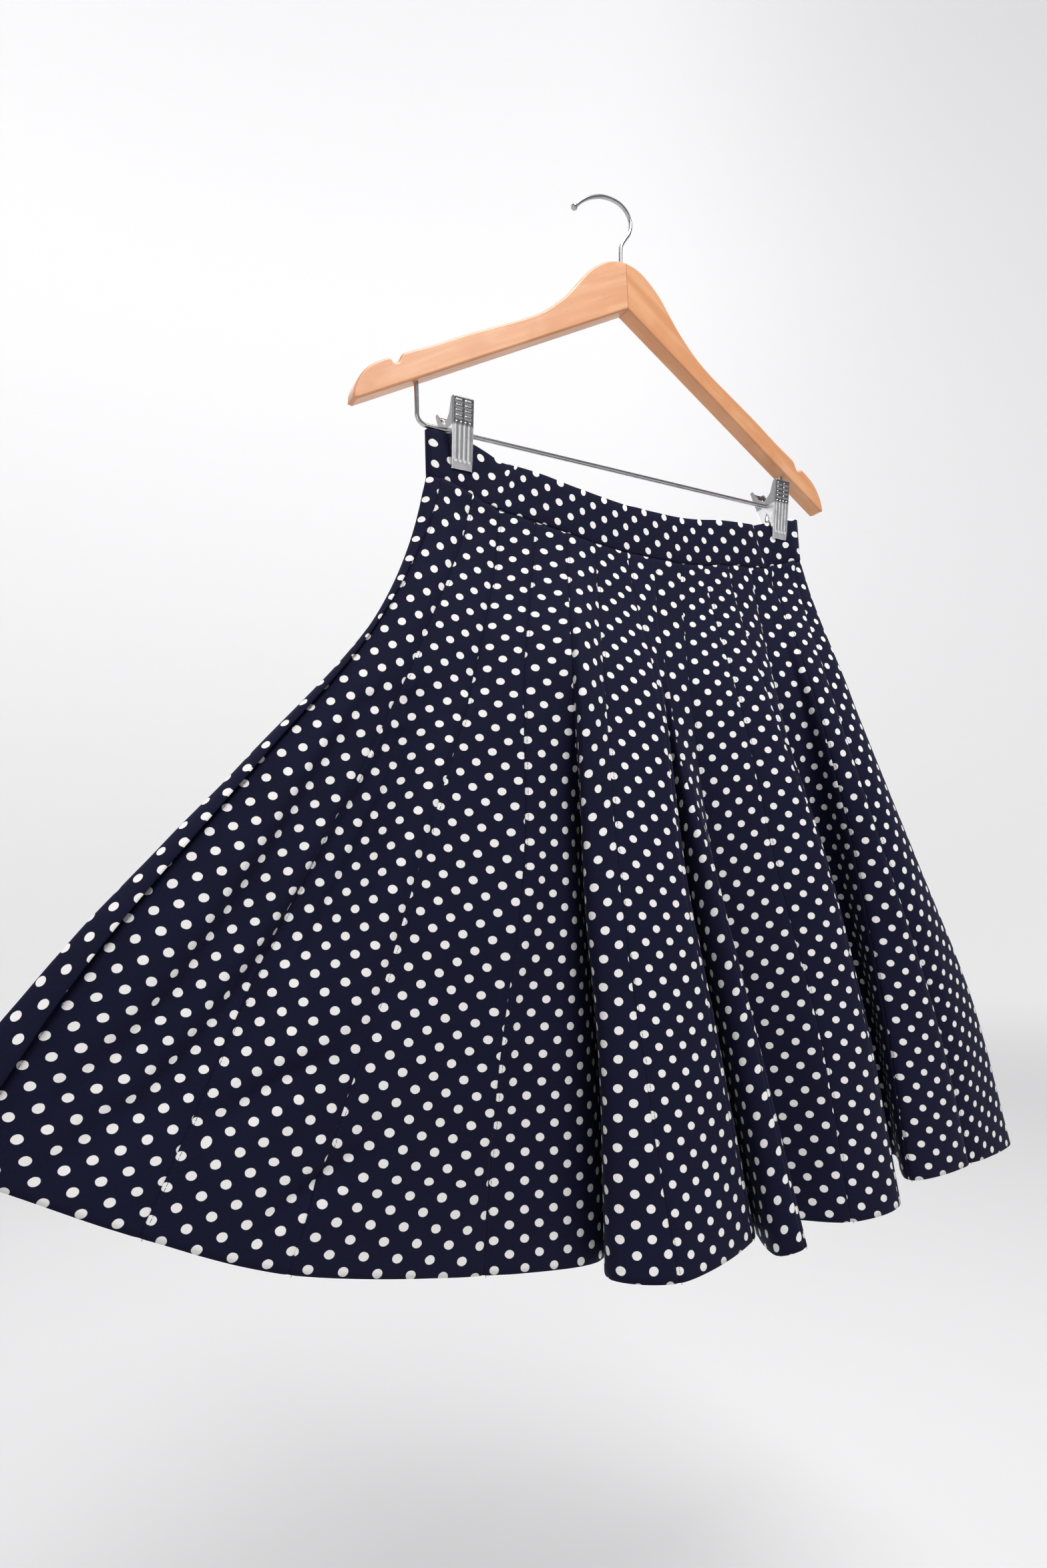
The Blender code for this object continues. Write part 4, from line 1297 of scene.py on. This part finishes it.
@dataclass
class Hanger:
    """Wooden arms, hook, clip bar and clips."""
    pattern: Pattern
    wood: bpy.types.Material
    chrome: bpy.types.Material
    pressed: bpy.types.Material
    dull_and_painted_dark: bpy.types.Material
    wood_thick: float = 13.7
    wood_round: float = 2.6
    sharp_from: float = math.radians(40)
    sweep: float = 0.073
    wire: float = 1.75
    ball: float = 2.9
    leg_x: float = 174.5
    bar_z: float = -126.5
    bend: float = 7.0
    leg_bore: float = 12.0
    leg_end: float = 18.0
    bend_steps: int = 12
    top_z: float = -108.2
    lip_z: float = -155.5
    top_y: float = -4.3
    lip_y: float = 8.5
    plate_width: float = 16.6
    plate_rows: int = 124
    plate_columns: int = 64
    flange: float = 4.6
    eye: float = 3.1
    sheet: float = 0.9
    fold: float = 1.3
    lip_height: float = 4.2
    lip_step: float = 1.1
    lip_flare: float = 1.7
    curl: float = 0.6
    curl_height: float = 0.9
    rear_narrower: float = 2.6
    pill_x: float = 3.55
    pill_half: float = 1.9
    pill_top: float = 3.5
    pill_pitch: float = 3.3
    pill_radius: float = 1.25
    pill_proud: float = 0.85
    rib_pitch: float = 3.5
    rib_middle: float = 29.4
    rib_half: float = 11.7
    rib_radius: float = 1.55
    rib_proud: float = 1.0
    spring_turns: float = 7.0
    spring_radius: float = 2.65
    spring_span: float = 10.5
    spring_wire: float = 0.6

    @property
    def bar_y(self) -> float:
        """How far the bar lies behind the hanger's middle."""
        return self.sweep * self.leg_x

    def build(self) -> None:
        """Builds and dresses every piece of the hanger."""
        for side in Side:
            self.arm(side)
        self.hook()
        self.clip_bar()
        for grip in GRIPS:
            for jaw in Jaw:
                self.jaw(grip, jaw)
            self.spring(grip)

    def dress(self, piece: bpy.types.Object, node: str,
              finish: bpy.types.Material) -> None:
        """Gives a piece its finish, body and the node that it stands for."""
        if not piece.data.materials:
            piece.data.materials.append(finish)
        stand_for(piece, node)
        LOG.info("%s: %d faces", piece.name, len(piece.data.polygons))

    def arm(self, side: Side) -> None:
        """One arm, with its long edges rounded over."""
        top = smooth_path([(x, 0.0, z) for x, z in ARM_TOP], 4)[:, (0, 2)]
        outline = np.vstack([(0.15, 0.0), np.maximum(top, (0.15, -1e9)), ARM_END])
        half = self.wood_thick / 2
        places = [(side.value * x, self.sweep * x + off, z)
                  for off in (-half, half) for x, z in outline]
        count = len(outline)
        faces = [list(range(count)), list(range(2 * count - 1, count - 1, -1))]
        for i in range(count):
            j = (i + 1) % count
            faces.append((j, i, count + i, count + j))
        if side is Side.LEFT:
            faces = [list(f)[::-1] for f in faces]
        piece = build_mesh(f"arm_{side.name.lower()}", np.array(places), faces)
        mesh = piece.data
        weight = mesh.attributes.new("bevel_weight_edge", "FLOAT", "EDGE")
        flat_faces = {frozenset(e) for f in faces[:2] for e in zip(f, f[1:] + f[:1])}
        joint = {frozenset((0, 1)), frozenset((count, count + 1))}
        weights = [1.0 if frozenset(e.vertices) in flat_faces - joint else 0.0 for e in mesh.edges]
        weight.data.foreach_set("value", weights)
        mesh.set_sharp_from_angle(angle=self.sharp_from)
        bevel = piece.modifiers.new("rounded", "BEVEL")
        bevel.limit_method = "WEIGHT"
        bevel.width = self.wood_round * MM
        bevel.segments = 4
        bevel.harden_normals = True
        self.dress(piece, f"hanger_arm_{side.name.lower()}", self.wood)

    def hook(self) -> None:
        """The hook's wire and the ball at its tip."""
        path = smooth_path([(x, 0.0, z) for x, z in HOOK_PATH], 8)
        along = unit(path[-1] - path[-2])
        angle = np.pi * np.arange(1, 18) / 18
        ball = path[-1] + along * self.ball * (0.85 - np.cos(angle))[:, None]
        radii = np.concatenate([np.full(len(path), self.wire), self.ball * np.sin(angle)])
        radii[len(path)] = max(radii[len(path)], self.wire * 0.98)
        piece = tube("hook_wire", np.vstack([path, ball]), radii, 20)
        self.dress(piece, "hook", self.chrome)

    def clip_bar(self) -> None:
        """The wire across, with a leg up into each arm."""
        leg_top = ARM_END[1] * self.leg_x / ARM_END[0] + self.leg_bore
        straight = leg_top - self.bar_z - self.leg_end
        right = [(self.leg_x, leg_top - k * straight / 3) for k in range(4)]
        for k in range(self.bend_steps + 1):
            a = math.pi / 2 * k / self.bend_steps
            right.append((self.leg_x - self.bend * (1 - math.cos(a)),
                          self.bar_z + self.bend * (1 - math.sin(a))))
        half = [(x, self.bar_y, z) for x, z in right]
        path = np.array(half + [(-x, y, z) for x, y, z in reversed(half)])
        piece = tube("clip_bar_wire", path, np.full(len(path), self.wire), 16)
        self.dress(piece, "clip_bar", self.chrome)

    def plate(self, a: np.ndarray, z: np.ndarray) -> np.ndarray:
        """Depth of the front jaw's plate, with its pills, ribs and bevelled lip.

        Args:
            a: places across the plate.
            z: heights.
        Returns:
            Depths along Y.
        """
        bevel_z = self.lip_z + self.lip_height
        down = self.top_z - z
        share = down / (self.top_z - bevel_z)
        y = self.top_y + (self.lip_y - self.lip_step - self.top_y) * np.minimum(share, 1.0)
        y = y + self.lip_flare * np.clip((bevel_z - z) / (bevel_z - self.lip_z), 0, 1)
        y = y + self.curl * np.clip(1 - down / self.curl_height, 0, 1) ** 2
        bump = np.zeros(np.broadcast(a, z).shape)
        marks = [(side * self.pill_x, self.pill_half, self.pill_top + self.pill_pitch * k, 0.0,
                  self.pill_radius, self.pill_proud) for side in (-1, 1) for k in range(4)]
        marks += [(self.rib_pitch * k, 0.0, self.rib_middle, self.rib_half, self.rib_radius,
                   self.rib_proud) for k in (-1.5, -0.5, 0.5, 1.5)]
        for middle, half_width, drop, half_height, radius, proud in marks:
            gap = np.hypot(np.maximum(np.abs(a - middle) - half_width, 0) / radius,
                           np.maximum(np.abs(down - drop) - half_height, 0) / radius)
            bump = np.maximum(bump, np.sqrt(np.clip(1 - gap ** 2, 0, 1)) * proud)
        return y - bump

    def flange_back(self, z: np.ndarray) -> np.ndarray:
        """Depth of the side flange's rear edge: an ear at the bar, a slope above and below."""
        heights = (self.lip_z, self.bar_z - 10.0, self.bar_z - self.eye, self.bar_z - 1.3,
                   self.bar_z + 1.3, self.bar_z + self.eye, self.bar_z + 9.0, self.top_z - 1.5,
                   self.top_z)
        depths = (self.lip_y + 1.0, self.lip_y + 1.0, self.bar_y + 1.6, self.bar_y + self.eye,
                  self.bar_y + self.eye, self.bar_y + 1.6, self.top_y + 9.2,
                  self.top_y + self.flange, self.top_y + self.flange - 1.0)
        return np.interp(z, heights, depths)

    def jaw(self, grip: Grip, jaw: Jaw) -> None:
        """One pressed jaw: its plate, folded round to a flange at each side.

        Args:
            grip: the clip's place.
            jaw: front or rear.
        """
        width = self.plate_width - (jaw is Jaw.REAR) * self.rear_narrower
        half, bend = width / 2, self.fold
        z = np.linspace(self.top_z, self.lip_z, self.plate_rows)[:, None]
        a_plate = np.linspace(-half + bend, half - bend, self.plate_columns)
        plate = self.plate(a_plate[None], z)
        edge = self.plate(np.array([[-half]]), z)
        back = np.maximum(self.flange_back(z), edge + bend + 0.3)
        angle = np.radians(np.array((90, 67.5, 45, 22.5)))
        share = np.linspace(0, 1, 7)[:-1]
        flange_y = back + (edge + bend - back) * share
        corner_a = -half + bend - bend * np.sin(angle)
        corner_y = edge + bend - bend * np.cos(angle)
        left_a = np.concatenate([np.full(6, -half), corner_a])
        left_y = np.concatenate([flange_y, corner_y], axis=1)
        across = np.concatenate([left_a, a_plate, -left_a[::-1]])
        depth = np.concatenate([left_y, plate, left_y[:, ::-1]], axis=1)
        rows, columns = depth.shape
        lean = grip.lean * (self.bar_z - z) / (self.bar_z - self.lip_z)
        x = grip.x + across[None] + lean
        y = self.bar_y + jaw.value * (depth - self.bar_y)
        places = np.stack([x, y, np.broadcast_to(z, x.shape)], axis=2).reshape(-1, 3)
        faces = grid_faces(rows, columns, 0, jaw is Jaw.REAR)
        side, which = grip.side.name.lower(), jaw.name.lower()
        piece = build_mesh(f"clip_{side}_{which}", places, faces.tolist())
        solid = piece.modifiers.new("sheet", "SOLIDIFY")
        solid.thickness = self.sheet * MM
        solid.offset = -1.0
        self.dress(piece, f"clip_{side}_{which}_jaw", self.pressed)

    def spring(self, grip: Grip) -> None:
        """The coil spring on the bar between the jaws' ears."""
        start = bpy.data.meshes.new("coil_start")
        side = grip.side.name.lower()
        piece = self.pattern.run(f"clip_{side}_coil", self.pattern.coil(), start, {
            "Middle": tuple(to_world((grip.x, self.bar_y, self.bar_z))),
            "Turns": self.spring_turns, "Radius": self.spring_radius * MM,
            "Span": self.spring_span * MM, "Wire": self.spring_wire * MM, "Steel": self.dull_and_painted_dark})
        self.dress(piece, f"clip_{side}_spring", self.dull_and_painted_dark)


@dataclass(frozen=True)
class Softbox:
    """A square light, its size in metres and its power in watts."""
    name: str
    place: Place
    size: float
    power: float


@dataclass(frozen=True)
class StageFinish:
    """Matt paint of the floor and wall, with the far wall lit as if by lamps of its own: painted
    light from its own glow, dimmer to the right and low down, and darkest at its foot as painted
    shade. The near wall is painted darker, a painted shade.
    """
    name: str = "pale_floor"
    pale: Colour = (0.66, 0.655, 0.66, 1.0)
    painted_shade_near_wall: Colour = (0.30, 0.30, 0.305, 1.0)
    glow_left: Colour = (0.64, 0.635, 0.64, 1.0)
    glow_right: Colour = (0.37, 0.365, 0.37, 1.0)
    glow_low: Colour = (0.30, 0.30, 0.30, 1.0)
    glow_foot: Colour = (0.13, 0.13, 0.13, 1.0)
    none: Colour = (0.0, 0.0, 0.0, 1.0)

    def build(self, floor_z: float) -> bpy.types.Material:
        """Builds the material for a floor at that height."""
        material, tree, principled = shader(self.name)
        parts = tree.split(tree.add("ShaderNodeTexCoord").outputs["Object"])
        near = tree.ramp(parts[1], 0.6, -1.4)
        high = tree.ramp(parts[2], floor_z + 0.1, floor_z + 1.2)
        # High on the near side the wall is painted darker: painted shade.
        colour = tree.mix(tree.math("MULTIPLY", near, high), self.pale, self.painted_shade_near_wall)
        # The far side glows with painted light, with painted shade to the right, low down and
        # darkest at the wall's foot.
        glow = tree.mix(tree.ramp(parts[0], 2.2, 3.9), self.glow_left, self.glow_right)
        glow = tree.mix(tree.ramp(parts[2], floor_z + 4.0, floor_z + 0.1), glow, self.glow_low)
        glow = tree.mix(tree.ramp(parts[2], floor_z + 0.3, floor_z), glow, self.glow_foot)
        tree.feed(principled, {"Base Color": colour, "Roughness": 0.95,
                               "Emission Color": tree.mix(near, glow, self.none),
                               "Emission Strength": 1.0})
        material.cycles.emission_sampling = "NONE"
        return material


@dataclass
class Studio:
    """Pale floor that rises far off into a wall all round, soft lights and the camera."""
    floor_z: float = -1.25
    flat_radius: float = 2.6
    rise_radius: float = 1.2
    wall_top: float = 6.0
    eye: Place = (-0.4206, -0.5531, -0.5502)
    right: Place = (0.8671, -0.4969, -0.0350)
    down: Place = (0.0289, 0.1204, -0.9923)
    ahead: Place = (0.4973, 0.8594, 0.1188)
    focal_px: float = 1400.0
    image_width: float = 1568.0
    sensor: float = 36.0
    sides: int = 96
    bend_steps: int = 12
    aim: Place = (0.0, 0.0, -0.4)
    lights: tuple[Softbox, ...] = (
        Softbox("key", (0.1, -1.3, 1.45), 1.0, 53.0), Softbox("fill", (-1.2, -1.1, -0.1), 1.0, 2.5),
        Softbox("top", (-0.2, 0.3, 1.9), 1.4, 12.0), Softbox("back", (0.4, 1.9, 0.6), 1.6, 8.0))
    sky: Colour = (0.95, 0.97, 1.0, 1.0)
    sky_strength: float = 0.3

    def build(self) -> None:
        """Builds the stage, the lights, the world and the camera."""
        self.bowl()
        self.world()
        for light in self.lights:
            self.light(light)
        self.camera()

    def bowl(self) -> None:
        """The floor and its far wall."""
        profile = [(self.flat_radius * 0.5, self.floor_z), (self.flat_radius, self.floor_z)]
        for k in range(1, self.bend_steps + 1):
            a = math.pi / 2 * k / self.bend_steps
            profile.append((self.flat_radius + self.rise_radius * math.sin(a),
                            self.floor_z + self.rise_radius * (1 - math.cos(a))))
        profile.append((self.flat_radius + self.rise_radius, self.wall_top))
        turns = [2 * math.pi * k / self.sides for k in range(self.sides)]
        places = [(r * math.cos(a), r * math.sin(a), z) for r, z in profile for a in turns]
        faces = [list(range(self.sides))]
        for i in range(len(profile) - 1):
            low, high = i * self.sides, (i + 1) * self.sides
            for k in range(self.sides):
                j = (k + 1) % self.sides
                faces.append((low + k, high + k, high + j, low + j))
        mesh = bpy.data.meshes.new("studio_floor")
        mesh.from_pydata(places, [], faces)
        mesh.shade_smooth()
        mesh.materials.append(StageFinish().build(self.floor_z))
        add_object("studio_floor", mesh)

    def world(self) -> None:
        """Even pale light from the open top."""
        world = bpy.data.worlds.new("studio")
        world.use_nodes = True
        Tree(world.node_tree).feed(world.node_tree.nodes["Background"],
                                   {"Color": self.sky, "Strength": self.sky_strength})
        bpy.context.scene.world = world

    def light(self, box: Softbox) -> None:
        """One square softbox turned to the skirt's middle."""
        data = bpy.data.lights.new(box.name, "AREA")
        data.size = box.size
        data.energy = box.power
        lamp = add_object(box.name, data)
        lamp.location = box.place
        lamp.rotation_mode = "QUATERNION"
        aim = Vector(self.aim) - Vector(box.place)
        lamp.rotation_quaternion = aim.to_track_quat("-Z", "Y")

    def camera(self) -> None:
        """The camera at the photo's angle, low on the left and close."""
        data = bpy.data.cameras.new("camera")
        data.sensor_fit = "HORIZONTAL"
        data.sensor_width = self.sensor
        data.lens = self.focal_px / self.image_width * self.sensor
        data.clip_start = 0.01
        camera = add_object("camera", data)
        columns = [Vector(self.right), -Vector(self.down), -Vector(self.ahead)]
        turn = Matrix(columns).transposed().to_4x4()
        camera.matrix_world = Matrix.Translation(self.eye) @ turn
        bpy.context.scene.camera = camera


def main() -> None:
    logging.basicConfig(level=logging.INFO, format="%(name)s %(message)s")
    bpy.context.scene.view_settings.view_transform = "Standard"
    Studio().build()
    cloth = ClothFinish("dotted_twill").build()
    reverse = ClothFinish("dotted_twill_reverse", dot_strength=0.32).build()
    pattern = Pattern()
    form = SkirtForm()
    Gores(form, cloth, reverse).build()
    band = Waistband(form, ClothFinish("dotted_twill_band", stretch=(1.16, 0.83)).build())
    band.build()
    EdgeStitching(form, band, pattern, ThreadFinish().build()).build()
    # The pressed chrome is painted darker above the clip bar: a painted dark reflection.
    Hanger(pattern, BeechFinish().build(), SteelFinish("chrome", 0.60, 0.12).build(),
           SteelFinish("pressed_chrome", 0.92, 0.22, -0.2215).build(),
           SteelFinish("drawn_steel", 0.40, 0.3).build()).build()


if __name__ == "__main__":
    main()
